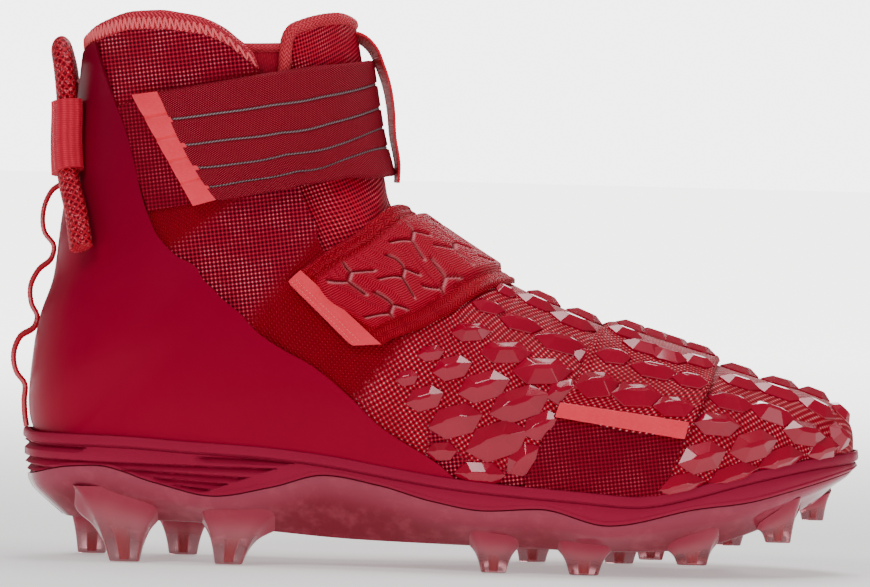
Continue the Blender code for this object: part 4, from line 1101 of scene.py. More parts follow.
def clear_finish(name, upper, lower, clear_above, clear_below):
    """Clear plastic, rose over its red inside, another colour and clearness lower down, with flow lines."""
    r = Recipe(name)
    flow = r.noise(26.0, 3.0, 0.5)
    down = r.step(r.do("MULTIPLY_ADD", flow, 0.15, r.value("down")), 0.15, 0.95)
    colour = r.mix(down, upper, lower)
    colour = r.mix(r.step(r.noise(7.0, 4.0), 0.45, 0.75, 0.0, 0.25), colour, "#c8586a")
    clear = r.step(down, 0.0, 1.0, clear_above, clear_below)
    return r.done(
        Base_Color=colour, Roughness=r.worn(5.0, 0.08, 0.20), Normal=r.bump(flow, 0.30, 0.4),
        Transmission_Weight=clear, IOR=1.46, Specular_Tint="#ffd0d4", Specular_IOR_Level=0.4, Coat_Weight=0.1,
        Coat_Roughness=0.05,
    )


def core_finish():
    """Red plastic seen through the clear studs."""
    r = Recipe("stud blade")
    colour = r.mix(r.noise(6.0, 4.0), "#b00820", "#c81830")
    return r.done(Base_Color=colour, Roughness=0.4, Normal=r.bump(r.noise(1.0, 3.0), 0.1, 0.4))


def lining_finish(name, dark, light):
    """Brushed lining cloth."""
    r = Recipe(name)
    u, v = r.lengths()
    loop = r.do("MULTIPLY", r.wave(u, 1.3), r.wave(v, 1.1))
    nap = r.noise(0.8, 4.0, 0.7)
    colour = r.mix(r.do("MULTIPLY_ADD", nap, 0.5, r.do("MULTIPLY", loop, 0.5)), dark, light)
    return r.done(Base_Color=colour, Roughness=0.8, Normal=r.bump(r.do("ADD", loop, nap), 0.25, 0.6))


def braid_finish():
    """Braided rope: strands in two shades of red."""
    r = Recipe("braided rope")
    u, v = r.lengths()
    first = r.wave(r.do("ADD", u, v), 2.6)
    second = r.wave(r.do("SUBTRACT", u, v), 2.6)
    strand = r.do("MAXIMUM", first, second)
    fibre = r.noise(0.35, 3.0, 0.7)
    colour = r.mix(r.step(strand, 0.5, 0.95), "#6a000e", r.mix(fibre, "#a8081c", "#cc1c34"))
    colour = r.mix(r.step(r.noise(0.9, 2.0), 0.56, 0.66, 0.0, 0.6), colour, "#ff7c86")
    return r.done(Base_Color=colour, Roughness=0.5, Normal=r.bump(fibre, 0.15, 0.6), Specular_IOR_Level=0.3)


def webbing_finish(name, dark, light, rib_pitch, cross_pitch):
    """Woven ribbon: ribs with fine cross threads."""
    r = Recipe(name)
    u, v = r.lengths()
    rib = r.wave(v, rib_pitch)
    cross = r.wave(u, cross_pitch)
    weave = r.do("MULTIPLY", r.do("MULTIPLY_ADD", rib, 0.6, 0.4), r.do("MULTIPLY_ADD", cross, 0.5, 0.5))
    soft = r.noise(3.0, 4.0)
    colour = r.mix(r.do("MULTIPLY", weave, r.step(soft, 0.2, 0.8, 0.75, 1.0)), dark, light)
    return r.done(Base_Color=colour, Roughness=0.5, Normal=r.bump(weave, 0.28, 0.8), Specular_IOR_Level=0.3)


def thread_finish():
    """Sewing thread, twisted."""
    r = Recipe("sewing thread")
    x, _, z = r.split(r.spot)
    twist = r.wave(r.do("ADD", x, z), 0.5)
    colour = r.mix(twist, "#ee4450", "#ff8a8e")
    return r.done(Base_Color=colour, Roughness=0.5, Normal=r.bump(twist, 0.08, 0.6))


def floor_finish():
    """The studio floor: pale paper with a painted glow, an emission that is faint near the shoe and grows bright
    far behind it.
    """
    r = Recipe("studio paper")
    colour = r.mix(r.noise(800.0, 3.0), "#f4f4f3", "#f7f7f6")
    # Painted glow: the paper emits light, more the further behind the shoe it lies
    glow = r.step(r.split(r.spot)[1], 100.0, 2400.0, 0.45, 4.4)
    return r.done(
        Base_Color=colour, Roughness=0.9, Specular_IOR_Level=0.1, Specular_Tint="#ffffff", Emission_Color=colour,
        Emission_Strength=glow,
    )


# Places seen in the photograph, turned into lengths from the heel and heights over the floor

PIXELS_PER_METRE = 2741.0
SOLE_START = (22.0, 560.4)
CAMERA_ROLL = 0.0253
NEAR_SIDE = 1.014
EYE_HEIGHT = 0.165
EYE_ALONG = 0.1482


def seen(across, down):
    """Length from the heel and height of a place on the near side of the shoe."""
    right, lower = across - SOLE_START[0], down - SOLE_START[1]
    x = (right + CAMERA_ROLL * lower) / PIXELS_PER_METRE
    z = (CAMERA_ROLL * right - lower) / PIXELS_PER_METRE - 0.0022
    return EYE_ALONG + (x - EYE_ALONG) / NEAR_SIDE, EYE_HEIGHT + (z - EYE_HEIGHT) / NEAR_SIDE


CREASES = (
    # creases pressed in the upper: from and to a station and girth share, how wide and how deep
    (14.6, -0.80, 16.4, -0.60, 0.0050, 0.0009),
    (15.2, -0.84, 17.6, -0.63, 0.0040, 0.0007),
    (17.6, -0.62, 18.8, -0.44, 0.0045, 0.0010),
    (19.2, -0.60, 21.0, -0.44, 0.0040, 0.0008),
    (20.6, -0.62, 22.4, -0.48, 0.0040, 0.0006),
    (26.8, -0.72, 28.4, -0.46, 0.0050, 0.0007),
    (15.0, 0.82, 17.0, 0.60, 0.0050, 0.0008),
    (17.4, 0.64, 19.4, 0.44, 0.0045, 0.0009),
    (19.8, 0.62, 21.8, 0.46, 0.0045, 0.0008),
    (9.9, -0.50, 10.6, -0.78, 0.0060, 0.0005),
    (9.9, 0.50, 10.6, 0.78, 0.0060, 0.0005),
)


def crease_depth(form, points):
    """How deep the creases lie at points."""
    depth = np.zeros(len(points))
    for s0, g0, s1, g1, width, deep in CREASES:
        line = form.at(np.linspace(s0, s1, 12), np.linspace(g0, g1, 12))
        far = np.min(np.linalg.norm(points[:, None, :] - line[None, :, :], axis=2), axis=1)
        depth += deep * (np.exp(-((far / width) ** 2)) - 0.55 * np.exp(-(((far - width * 1.7) / width) ** 2)))
    return depth


VAMP_SEAM_SEEN = ((430, 318), (414, 337), (386, 368), (358, 399))


def build_upper(form, finishes):
    """The upper's wall, open at the collar, the throat and underneath."""
    piece = grid_sheet("upper_cloth", 150, 150)
    tops = np.array([collar_station(share) for share in form.shares])

    def read(a, b):
        share = a * 2.0 - 1.0
        top = np.interp(share, form.shares, tops)
        below = b / 0.44 * THROAT_STATION
        above = THROAT_STATION + (b - 0.44) / 0.56 * (top - THROAT_STATION)
        return np.where(b < 0.44, below, above), share

    def place(a, b):
        station, share = read(a, b)
        points = form.at(station, share)
        inside = (station > 3.0) & (station < 30.0)
        depth = np.zeros(len(points))
        depth[inside] = crease_depth(form, points[inside])
        return form.at(station, share, -np.clip(depth, -0.0002, 0.0012)), form.out(station, share)

    station, share = read(*lay(piece, place, form.lengths(read)))
    edge = curve(HEEL_PANEL, station)[:, 1]
    side = np.abs(share)
    net = np.clip(station - 13.2, 0.0, 1.0)
    low_front = np.clip((side - edge + 0.13) / 0.04, 0.0, 1.0) * (station > 7.6) * (station < 12.2)
    seam = np.array([form.find(*seen(*spot)) for spot in VAMP_SEAM_SEEN])
    from_seam = station - np.interp(side, -seam[:, 1], seam[:, 0])
    quarter = np.clip(from_seam / 0.10, 0.0, 1.0) * np.clip((16.9 - station) / 0.5, 0.0, 1.0)
    ankle = np.clip((station - 21.8) / 0.6, 0.0, 1.0) * np.clip((27.6 - station) / 0.5, 0.0, 1.0)
    write_values(piece, "net", np.clip(net + low_front, 0.0, 1.0))
    write_values(piece, "fine", np.maximum(quarter, ankle))
    open_throat = set()
    for face in piece.data.polygons:
        corners = list(face.vertices)
        if min(station[corners]) >= THROAT_STATION - 1e-6 and max(side[corners]) <= THROAT_SHARE + 1e-6:
            open_throat.add(face.index)
    delete_faces(piece, open_throat)
    merge_close(piece, 1e-5)
    thicken(piece, WALL, back=1, edge=0)
    smooth(piece, 60)
    return dress(piece, finishes, ["upper"])


def form_sheet(form, name, columns, rows, read, lift, wall, finishes, node=(), own=False):
    """A sheet on the form. Read gives station and share at grid fractions, lift its height off the form.

    Its material reads lengths over the form, or with own set over the sheet itself.
    """
    piece = grid_sheet(name, columns, rows)

    def place(a, b):
        station, share = read(a, b)
        height = lift(a, b) if callable(lift) else np.full(len(a), lift)
        return form.at(station, share, height), form.out(station, share)

    lay(piece, place, None if own else form.lengths(read))
    merge_close(piece, 1e-5)
    thicken(piece, wall, back=0, edge=0)
    finish_modifier(piece, "BEVEL", width=wall * 0.3, segments=2, limit_method="ANGLE", angle_limit=1.0)
    smooth(piece, 50)
    return dress(piece, finishes, node)


def build_heel_panel(form, finishes):
    """The heel shell: from one quarter's front edge round the heel to the other, down to the sole."""
    piece = grid_sheet("heel_shell", 120, 120)
    tops = np.array([collar_station(share) for share in form.shares])

    def read(a, b):
        """Columns run down from the collar. At a = 0 lies the lateral front edge, at 1 the medial one."""
        low = PANEL_FOOT
        station = low + (30.2 - low) * b
        edge = curve(HEEL_PANEL, station)[:, 1]
        from_edge = np.abs(a - 0.5) * 2.0
        share = 1.0 - (1.0 - edge) * from_edge
        share = np.where(a < 0.5, -share, share)
        top = np.interp(share, form.shares, tops) - PANEL_DROP
        station = low + (top - low) * b
        edge = curve(HEEL_PANEL, station)[:, 1]
        share = np.where(a < 0.5, -1.0, 1.0) * (1.0 - (1.0 - np.minimum(edge, 0.995)) * from_edge)
        return station, share

    def place(a, b):
        station, share = read(a, b)
        return form.at(station, share, GAP + PANEL_THICKNESS), form.out(station, share)

    lay(piece, place, form.lengths(read))
    crossing = set()
    for face in piece.data.polygons:
        ys = [piece.data.vertices[k].co.y for k in face.vertices]
        if max(ys) > 0.02 and min(ys) < -0.02:
            crossing.add(face.index)
    if crossing:
        delete_faces(piece, crossing)
    merge_close(piece, 1e-5)
    thicken(piece, PANEL_THICKNESS)
    smooth(piece, 50)
    return dress(piece, finishes, ["heel_panel"])


# Straps


def strap_reader(columns):
    """Station and share over a strap, from its columns of two ends."""
    table = np.array([(k,) + low + high for k, (low, high) in enumerate(columns)])

    def read(a, b):
        row = curve(table, a * (len(columns) - 1))
        share = row[:, 1] + (row[:, 3] - row[:, 1]) * b
        station = row[:, 2] + (row[:, 4] - row[:, 2]) * b
        return station, share

    return read


# Edges of the two upper straps in the photograph, from the tab to the ridge: upper edge and lower edge
ANKLE_STRAP_SEEN = (
    ((161.0, 91.5), (216.0, 199.5)),
    ((205.0, 83.5), (258.0, 193.0)),
    ((255.0, 74.5), (303.0, 186.5)),
    ((305.0, 66.5), (346.0, 181.0)),
)
ANKLE_RIDGE = (14.75, 25.75)
MIDFOOT_STRAP_SEEN = (
    ((299.0, 271.5), (381.0, 346.5)),
    ((332.0, 248.0), (418.0, 330.0)),
    ((366.0, 225.5), (455.0, 311.5)),
)
MIDFOOT_RIDGE = (10.05, 13.25)
FOREFOOT_STRAP_SEEN = (
    ((555.0, 413.0), (686.0, 434.0)),
    ((567.0, 393.0), (702.0, 405.0)),
    ((580.0, 368.0), (712.0, 385.0)),
)


def seen_columns(form, edges, ridge):
    """Columns of a strap that crosses the ridge, the same on both sides, from its edges in the photograph."""
    lateral = [(form.find(*seen(*low)), form.find(*seen(*high))) for high, low in edges]
    lateral = [((low[1], low[0]), (high[1], high[0])) for low, high in lateral]
    medial = [((-low[0], low[1]), (-high[0], high[1])) for low, high in lateral]
    return lateral + [((0.0, ridge[0]), (0.0, ridge[1]))] + medial[::-1]


def build_ankle_strap(form, finishes):
    """Five elastic bands side by side with a grey cord in each groove between them."""
    read = strap_reader(seen_columns(form, ANKLE_STRAP_SEEN, ANKLE_RIDGE))
    base = GAP + STRAP_LIFT

    def lift(a, b):
        within = (b * ANKLE_BANDS) % 1.0
        outer = np.minimum(b, 1.0 - b)
        end_band = np.where(b < 0.5, np.maximum(1.0 - within, 0.0), within)
        from_groove = np.where(outer < 0.1, end_band, np.minimum(within, 1.0 - within))
        crown = np.clip(from_groove / 0.10, 0.0, 1.0) ** 0.6
        edge = np.clip(outer / 0.02, 0.0, 1.0) ** 0.5
        return base + ANKLE_THICKNESS * (0.42 + 0.50 * np.minimum(crown, 0.35 + 0.65 * edge) + 0.06 * crown)

    form_sheet(
        form, "ankle_strap_bands", 130, 150, read, lift, 0.0014, finishes, ["ankle_strap"],
        own=True,
    )
    cords = []
    for k in range(1, ANKLE_BANDS):
        cord = grid_sheet("cord", 130, 8)

        def place(a, b, k=k):
            station, share = read(a * 0.985 + 0.0075, np.full(len(a), k / ANKLE_BANDS))
            above = read(a * 0.985 + 0.0075, np.full(len(a), k / ANKLE_BANDS + 0.02))
            middle = form.at(station, share, base + CORD_LIFT)
            up = unit(form.at(*above, base + CORD_LIFT) - middle)
            turn = (b * 2.0 * math.pi)[:, None]
            facing = up * np.cos(turn) + form.out(station, share) * np.sin(turn)
            return middle + facing * CORD_RADIUS, facing

        lay(cord, place)
        merge_close(cord)
        cords.append(cord)
    cord = joined("ankle_strap_cords", cords)
    smooth(cord, 80)
    dress(cord, finishes[1:])


CHANNEL_ARMS = (
    # arms of one group of channels, in metres: from and to
    (0.0, 0.0, -0.0053, -0.0036),
    (0.0, 0.0, -0.0010, 0.0070),
    (0.0, 0.0, 0.0034, -0.0021),
    (0.0034, -0.0021, 0.0044, -0.0091),
    (0.0034, -0.0021, 0.0082, 0.0016),
)


def channel_depth(u, v, length, width):
    """Depth share of the pressed channels of the padded strap: groups of five short arms in slanting rows."""
    depth = np.zeros(len(u))
    for i in range(-14, 15):
        for j in range(-14, 15):
            x = 0.0160 + 0.0115 * i + 0.0147 * j
            y = 0.0120 + 0.0089 * i - 0.0084 * j
            if not (0.0075 < y < width - 0.0050 and 0.0090 < x < length - 0.0090):
                continue
            for x0, y0, x1, y1 in CHANNEL_ARMS:
                across, up = x1 - x0, y1 - y0
                from_x, from_y = u - x - x0, v - y - y0
                t = np.clip((from_x * across + from_y * up) / (across * across + up * up), 0.0, 1.0)
                far = np.hypot(from_x - t * across, from_y - t * up)
                depth = np.maximum(depth, np.exp(-((far / 0.0005) ** 2)))
    return depth


def build_midfoot_strap(form, finishes):
    """The padded strap: ribbed pad with pressed channels between two sewn edge tapes."""
    read = strap_reader(seen_columns(form, MIDFOOT_STRAP_SEEN, MIDFOOT_RIDGE))
    base = GAP + STRAP_LIFT
    piece = grid_sheet("midfoot_strap_pad", 400, 90)
    held = {}

    def place(a, b):
        station, share = read(a, b)
        u, v = own_lengths(a, b, form.at(station, share, base))
        columns = np.unique(np.round(a, 5))
        widths = [v[np.isclose(a, column, atol=1e-4)].max() for column in columns]
        width = np.interp(a, columns, widths)
        from_edge = np.minimum(v, width - v)
        length = u.max()
        across = (width - v) / width * MIDFOOT_WIDTH
        depth = channel_depth(u, across, length, MIDFOOT_WIDTH)
        # A band beside one side of each channel, where the pad material paints a highlight; the channels themselves
        # get painted shade
        lip = channel_depth(u, across - 0.0006, length, MIDFOOT_WIDTH) * (1.0 - depth)
        pad = np.clip((from_edge - MIDFOOT_TAPE) / 0.0022, 0.0, 1.0)
        pad = pad * pad * (3.0 - 2.0 * pad)
        from_end = np.minimum(u, length - u)
        pad *= np.clip((from_end - 0.004) / 0.003, 0.0, 1.0)
        rows = 0.5 - 0.5 * np.cos(np.clip(from_edge / MIDFOOT_TAPE, 0.0, 1.0) * 4.0 * math.pi)
        edge = np.clip(from_edge / 0.0009, 0.0, 1.0) ** 0.5
        height = 0.0013 * edge + 0.0003 * rows * (1.0 - pad) + 0.0024 * pad
        height += 0.0004 * pad * np.sin(np.clip(v / np.maximum(width, 1e-6), 0, 1) * math.pi)
        height -= 0.0012 * depth * pad
        held.update(groove=depth * pad, lip=lip * pad, pad=pad)
        return form.at(station, share, base + height), form.out(station, share)

    lay(piece, place)
    # groove carries the painted shade of the channels, lip the painted highlight beside them
    write_values(piece, "groove", held["groove"])
    write_values(piece, "lip", held["lip"])
    for finish in finishes:
        piece.data.materials.append(finish)
    for face in piece.data.polygons:
        face.material_index = 1 if np.mean(held["pad"][list(face.vertices)]) < 0.35 else 0
    thicken(piece, 0.0012)
    smooth(piece, 60)
    return dress(piece, finishes, ["midfoot_strap"])


def build_forefoot_strap(form, finishes):
    """The flat strap over the forefoot, mesh with corded edges; its lugs are laid on it."""
    columns = seen_columns(form, FOREFOOT_STRAP_SEEN, FOREFOOT_STRAP[0][1:])[: len(FOREFOOT_STRAP_SEEN) + 1]
    columns += [((share, low), (share, high)) for share, low, high in FOREFOOT_STRAP[1:]]
    read = strap_reader(columns)
    base = GAP + STRAP_LIFT

    def lift(a, b):
        outer = np.minimum(b, 1.0 - b)
        edge = np.clip(outer / 0.03, 0.0, 1.0) ** 0.5
        piping = np.exp(-(((outer - 0.035) / 0.018) ** 2))
        return base + FOREFOOT_THICKNESS * (0.40 + 0.40 * edge) + 0.0006 * piping

    piece = form_sheet(
        form, "forefoot_strap_mesh", 140, 50, read, lift, 0.0014, finishes, ["forefoot_strap"],
        own=True,
    )
    zeros = np.zeros(len(piece.data.vertices))
    write_values(piece, "net", zeros)
    write_values(piece, "fine", zeros)
    return piece


# Corners of flat pieces in the photograph: rear upper, front upper, front lower, rear lower
ANKLE_TAB_SEEN = ((135.5, 95), (160, 91.5), (214.5, 199), (192.5, 205.5))
MIDFOOT_TAB_SEEN = ((283.5, 279.5), (300, 272), (382.5, 345), (356, 350))
FOREFOOT_TAB_SEEN = ((559, 403), (685.5, 424), (681, 439), (554, 416.5))
ANKLE_BAND_SEEN = ((116, 107), (160, 93), (216, 199), (149, 211))
BOOTIE_SEEN = ((238, 48), (302, 47), (304, 76), (244, 84))
WRAP_SEEN = ((556, 408), (686, 432), (655, 498), (520, 490))


def seen_places(corners):
    """Lengths and heights of places in the photograph."""
    return np.array([seen(*corner) for corner in corners])


def seen_reader(form, corners):
    """Station and share over a piece between four corners in the photograph."""
    corners = np.array([form.find(*place) for place in seen_places(corners)])

    def read(a, b):
        at = between(corners, a, b)
        return at[:, 0], at[:, 1]

    return corners, read


def build_tab(form, name, node, corners, columns, rows, relief, wall, finishes, trim=0.0):
    """A tab on the lateral face between four corners, with its relief. Trim pulls its rear corners in."""
    corners = seen_places(corners)
    piece = grid_sheet(name, columns, rows)

    def place(a, b):
        at = between(corners, a, b)
        pull = trim * np.clip(1.0 - np.minimum(b, 1.0 - b) / 0.10, 0.0, 1.0) * (1.0 - a)
        points, facing = form.from_side(at + (corners.mean(axis=0) - at) * pull[:, None])
        return points + facing * (GAP + TAB_THICKNESS + relief(a, b))[:, None], facing

    lay(piece, place)
    thicken(piece, wall)
    finish_modifier(piece, "BEVEL", width=0.0006, segments=3, limit_method="ANGLE", angle_limit=1.0)
    smooth(piece, 50)
    return dress(piece, finishes, [node])


def build_tabs(form, finishes):
    """Coral pull tabs on the lateral ends of the straps."""

    def segments(a, b):
        within = (b * 5.0) % 1.0
        crease = np.exp(-((np.minimum(within, 1.0 - within) / 0.06) ** 2)) * (b > 0.06) * (b < 0.94)
        folded = 0.0005 * np.exp(-((a / 0.12) ** 2))
        return 0.0004 + 0.0004 * np.sin(within * math.pi) - 0.0006 * crease - folded

    def flat(_, b):
        return 0.0005 + 0.0002 * np.sin(b * math.pi)

    build_tab(form, "ankle_strap_tab", "ankle_tab", ANKLE_TAB_SEEN, 16, 100, segments, 0.0026, finishes)
    build_tab(form, "midfoot_strap_tab", "midfoot_tab", MIDFOOT_TAB_SEEN, 14, 60, flat, 0.0026, finishes, 0.10)
    build_tab(form, "forefoot_strap_tab", "forefoot_tab", FOREFOOT_TAB_SEEN, 60, 12, flat, 0.0024, finishes)


def lay_stitches(name, ends, facings, radius, finish):
    """Stitches between pairs of ends: one thread, copied, turned and stretched into each place."""
    select_only()
    bpy.ops.mesh.primitive_uv_sphere_add(segments=8, ring_count=6, radius=0.5)
    thread = bpy.context.active_object
    shape = np.array([vertex.co[:] for vertex in thread.data.vertices])
    swell = np.sign(shape[:, 2]) * np.abs(shape[:, 2] * 2.0) ** 0.6 / 2.0
    copies = []
    for (start, end), facing in zip(ends, facings):
        length = np.linalg.norm(end - start)
        run = (end - start) / length
        side = unit(np.cross(facing, run))
        out = np.cross(run, side)
        copy = thread.copy()
        copy.data = thread.data.copy()
        bpy.context.scene.collection.objects.link(copy)
        spots = (start + end) / 2 + np.outer(swell * length, run)
        spots += np.outer(shape[:, 0] * 2.0 * radius, side) + np.outer(shape[:, 1] * 2.0 * radius, out)
        copy.data.vertices.foreach_set("co", spots.ravel())
        copies.append(copy)
    bpy.data.objects.remove(thread)
    piece = joined(name, copies)
    turn_outwards(piece)
    smooth(piece, 80)
    return dress(piece, [finish])


def sew_tab(form, finish):
    """Two rows of stitches along the midfoot tab."""
    corners = seen_places(MIDFOOT_TAB_SEEN)
    ends, facings = [], []
    for a in (0.16, 0.40):
        for b in np.linspace(0.07, 0.93, 25)[:-1]:
            points, facing = form.from_side(between(corners, np.full(2, a), np.array((b, b + 0.022))))
            ends.append(points + facing * (GAP + TAB_THICKNESS + 0.0007))
            facings.append(facing[0])
    return lay_stitches("midfoot_tab_stitches", ends, facings, 0.00022, finish)


def build_ankle_band(form, finishes):
    """The mesh band that carries the ankle tab, from the heel shell to the strap."""
    corners = seen_places(ANKLE_BAND_SEEN)
    piece = grid_sheet("ankle_band_cloth", 40, 70)

    def place(a, b):
        points, facing = form.from_side(between(corners, a, b))
        hem = np.exp(-(((np.minimum(b, 1.0 - b) - 0.02) / 0.015) ** 2))
        return points + facing * (GAP + 0.0008 + 0.0003 * hem)[:, None], facing

    lay(piece, place)
    thicken(piece, 0.0008)
    smooth(piece, 50)
    return dress(piece, finishes)


def sew_collar(form, finish):
    """Zigzag stitches over the binding, right round the collar."""
    shares = a_to_share(np.linspace(0.004, 0.996, 145))
    base, out, up = collar_frame(form, shares)
    low = np.arange(len(shares))[:, None] % 2 == 0
    points = base + up * np.where(low, -0.0052, -0.0008) + out * np.where(low, 0.0008, 0.0019)
    ends = [(points[k], points[k + 1]) for k in range(len(points) - 1)]
    return lay_stitches("collar_stitches", ends, out[:-1], 0.00042, finish)


def build_bootie(form, lining, binding):
    """Between the collar's front end and the tongue: the inner cloth with its bound edge."""
    _, read = seen_reader(form, BOOTIE_SEEN)
    form_sheet(form, "bootie_cloth", 40, 20, read, -0.0030, 0.0008, [lining])
    station, share = read(np.linspace(0.0, 1.0, 80), np.zeros(80))
    path = form.at(station, share, -0.0034)
    out = form.out(station, share)

    def roll(angle, _):
        return np.cos(angle) * 0.0017, np.sin(angle) * 0.0017, 1.0 + 0.02 * np.sin(angle * 6.0)

    piece = tube_piece("bootie_binding", path, (out, np.cross(directions(path), out)), roll)
    dress(piece, [binding])


def build_wrap_panel(form, finishes):
    """The plain panel from the forefoot tab down to the sole."""
    corners, read = seen_reader(form, WRAP_SEEN)
    corners[2:, 1] = -1.0

    def lift(a, _):
        edge = np.minimum(a, 1.0 - a)
        return GAP + WRAP_THICKNESS + 0.0004 * np.exp(-(((edge - 0.03) / 0.02) ** 2))

    form_sheet(form, "wrap_cloth", 60, 40, read, lift, WRAP_THICKNESS, finishes, ["wrap_panel"])


# Edge of the tongue above the strap, in the photograph, and its top station on the ridge
TONGUE_EDGE_SEEN = ((283, 84), (286, 66), (287, 50), (289, 38), (294, 30), (304, 25.5))
TONGUE_TOP = 29.0


def tongue_top(form):
    """Station and girth share along the lateral edge of the tongue's top."""
    return np.array([form.find(*place) for place in seen_places(TONGUE_EDGE_SEEN)])


def tongue_edge(form):
    """Girth shares of the tongue's edge by station."""
    top = tongue_top(form)
    low = np.array([row for row in TONGUE_ROWS if row[0] < top[0, 0] - 1.0])
    return np.concatenate((low, top * (1.0, -1.0)))


def build_tongue_binding(form, finish):
    """Knitted roll round the top of the tongue."""
    top = tongue_top(form)
    crown = min(top[-1, 0] + 0.25, 30.5)
    lateral = np.vstack((top, (crown, top[-1, 1] / 2)))
    spots = np.vstack((lateral, (TONGUE_TOP, 0.0), (lateral * (1.0, -1.0))[::-1]))
    spots = polyline(np.column_stack((spots[:, 0], spots[:, 1] * 20.0, np.zeros(len(spots)))), 0.1)
    path = polyline(form.at(spots[:, 0], spots[:, 1] / 20.0, -0.0014), 0.0007)
    along = directions(path)
    away = square_to(along, np.array([form.tree.find_nearest(Vector(point))[1][:] for point in path]))

    def roll(angle, length):
        knot = 1.0 + 0.10 * np.abs(np.sin(length * math.pi / 0.0024 + angle)) ** 0.5
        return np.cos(angle) * 0.0022, np.sin(angle) * 0.0019, knot

    piece = tube_piece("tongue_binding", path, (np.cross(along, away), away), roll)
    dress(piece, [finish])


def build_tongue(form, finishes):
    """The padded tongue, under the quarters at its edges and out in the throat between them."""
    piece = grid_sheet("tongue_pad", 50, 130)
    rows = tongue_edge(form)

    def read(a, b):
        crown = rows[-1, 0] + 0.25 * np.sin(np.clip((0.5 - np.abs(a - 0.5)) * 4.0, 0.0, 1.0) * math.pi / 2)
        station = TONGUE_ROOT + (crown - TONGUE_ROOT) * b
        edge = np.interp(station, rows[:, 0], rows[:, 1])
        return station, (a * 2.0 - 1.0) * edge

    def place(a, b):
        station, share = read(a, b)
        hidden = np.clip((np.abs(share) - 0.24) / 0.13, 0.0, 1.0)
        low_down = np.clip((15.0 - station) / 1.8, 0.0, 1.0)
        sunk = np.maximum(hidden, low_down)
        sunk = sunk * sunk * (3.0 - 2.0 * sunk)
        edge = np.clip(np.minimum(a, 1.0 - a) / 0.04, 0.0, 1.0) ** 0.5
        tip = np.clip((1.0 - b) / 0.02, 0.0, 1.0) ** 0.5
        lift = -GAP - (WALL + 0.0006) * sunk - 0.0011 * (1.0 - np.minimum(edge, tip))
        return form.at(station, share, lift), form.out(station, share)

    lay(piece, place, form.lengths(read))
    thicken(piece, TONGUE_THICKNESS - 0.0004, back=1)
    finish_modifier(piece, "BEVEL", width=0.0007, segments=2, limit_method="ANGLE", angle_limit=1.0)
    smooth(piece, 60)
    return dress(piece, finishes, ["tongue"])


def collar_frame(form, share):
    """Places on the collar's edge with the directions out of and up along the upper there."""
    top = np.array([collar_station(s) for s in share])
    place = form.at(top, share)
    return place, form.out(top, share), unit(place - form.at(top - 0.8, share))


def build_binding(form, finishes):
    """Knitted binding folded over the collar's edge."""
    piece = grid_sheet("collar_binding_knit", 260, 20)

    def place(a, b):
        base, out, up = collar_frame(form, a_to_share(a))
        turn = ((-0.35 + b * 1.70) * math.pi)[:, None]
        waver = 0.00012 * np.sin(a * 260.0)[:, None]
        across = -0.0011 + 0.0025 * np.cos(turn) + waver
        rise = -0.0016 + np.where(turn < 0.0, 0.00414, 0.0034) * np.sin(turn)
        return base + out * across + up * rise, out * np.cos(turn) + up * np.sin(turn)

    lay(piece, place)
    thicken(piece, 0.0007)
    smooth(piece, 70)
    dress(piece, finishes, ["collar_binding"])


def a_to_share(a):
    """Round the collar: from the lateral throat corner over the heel to the medial throat corner."""
    from_spine = (0.5 - a) * 2.0
    share = 1.0 - (1.0 - THROAT_SHARE) * np.abs(from_spine)
    return np.where(from_spine > 0.0, -share, share)


# Lugs


def gem_lug():
    """One lug at unit size: a long hexagon with a raised crest, a little nearer its upper edge."""
    select_only()
    bpy.ops.mesh.primitive_cylinder_add(vertices=6, radius=0.5, depth=1.0, rotation=(0.0, 0.0, math.pi / 6))
    lug = bpy.context.active_object
    bpy.ops.object.transform_apply(location=True, rotation=True, scale=True)
    bpy.ops.object.mode_set(mode="EDIT")
    bpy.ops.mesh.select_all(action="DESELECT")
    bpy.ops.mesh.select_mode(type="FACE")
    build = bmesh.from_edit_mesh(lug.data)
    for face in build.faces:
        face.select = face.normal.z > 0.9
    bmesh.update_edit_mesh(lug.data)
    bpy.ops.mesh.extrude_region_move(TRANSFORM_OT_translate={"value": (0.0, 0.0, 1.0)})
    bpy.ops.transform.resize(value=(0.50, 0.16, 1.0), center_override=(0.0, 0.06, 1.5))
    bpy.ops.object.mode_set(mode="OBJECT")
    return lug


# Size of a lug for each millimetre in the tables, and the share of the girth where the ridge has no second lug
LUG_LONG = 0.00107
LUG_WIDE = 0.00128
RIDGE_SHARE = 0.045
STRAP_LUG_LIFT = 0.0030

# Lugs by place in the photograph, with length and width in millimetres and the slope of their long axis
VAMP_LUGS = (
    (506, 292, 9, 6, -14),
    (536, 306, 15, 7.5, -12),
    (547, 298, 13, 7.5, -20),
    (575, 324, 17.5, 8.5, -10),
    (587, 316, 14, 8, -22),
    (489, 308, 12, 6, -4),
    (522, 325, 15.5, 7.5, -4),
    (560, 345, 19.5, 9, -8),
    (471, 332, 14, 6.5, 6),
    (505, 351, 18, 8, 4),
    (542, 370, 21, 9.5, 5),
    (590, 358, 13, 7, -6),
    (430, 351, 9.5, 5, 10),
    (452, 366, 14, 7.5, 14),
    (482, 384, 18.7, 9.2, 16),
    (520, 402, 22, 10.5, 20),
    (563, 390, 14, 8, 20),
    (407, 378, 8, 5, 12),
    (426, 399, 13.7, 7.5, 17),
    (454, 421, 19.6, 10, 16),
    (497, 440, 23, 11.5, 20),
    (541, 424, 15, 8, 24),
    (441, 451, 11, 6, 6),
    (478, 471, 18, 8, 2),
    (523, 459, 15, 8, 40),
)
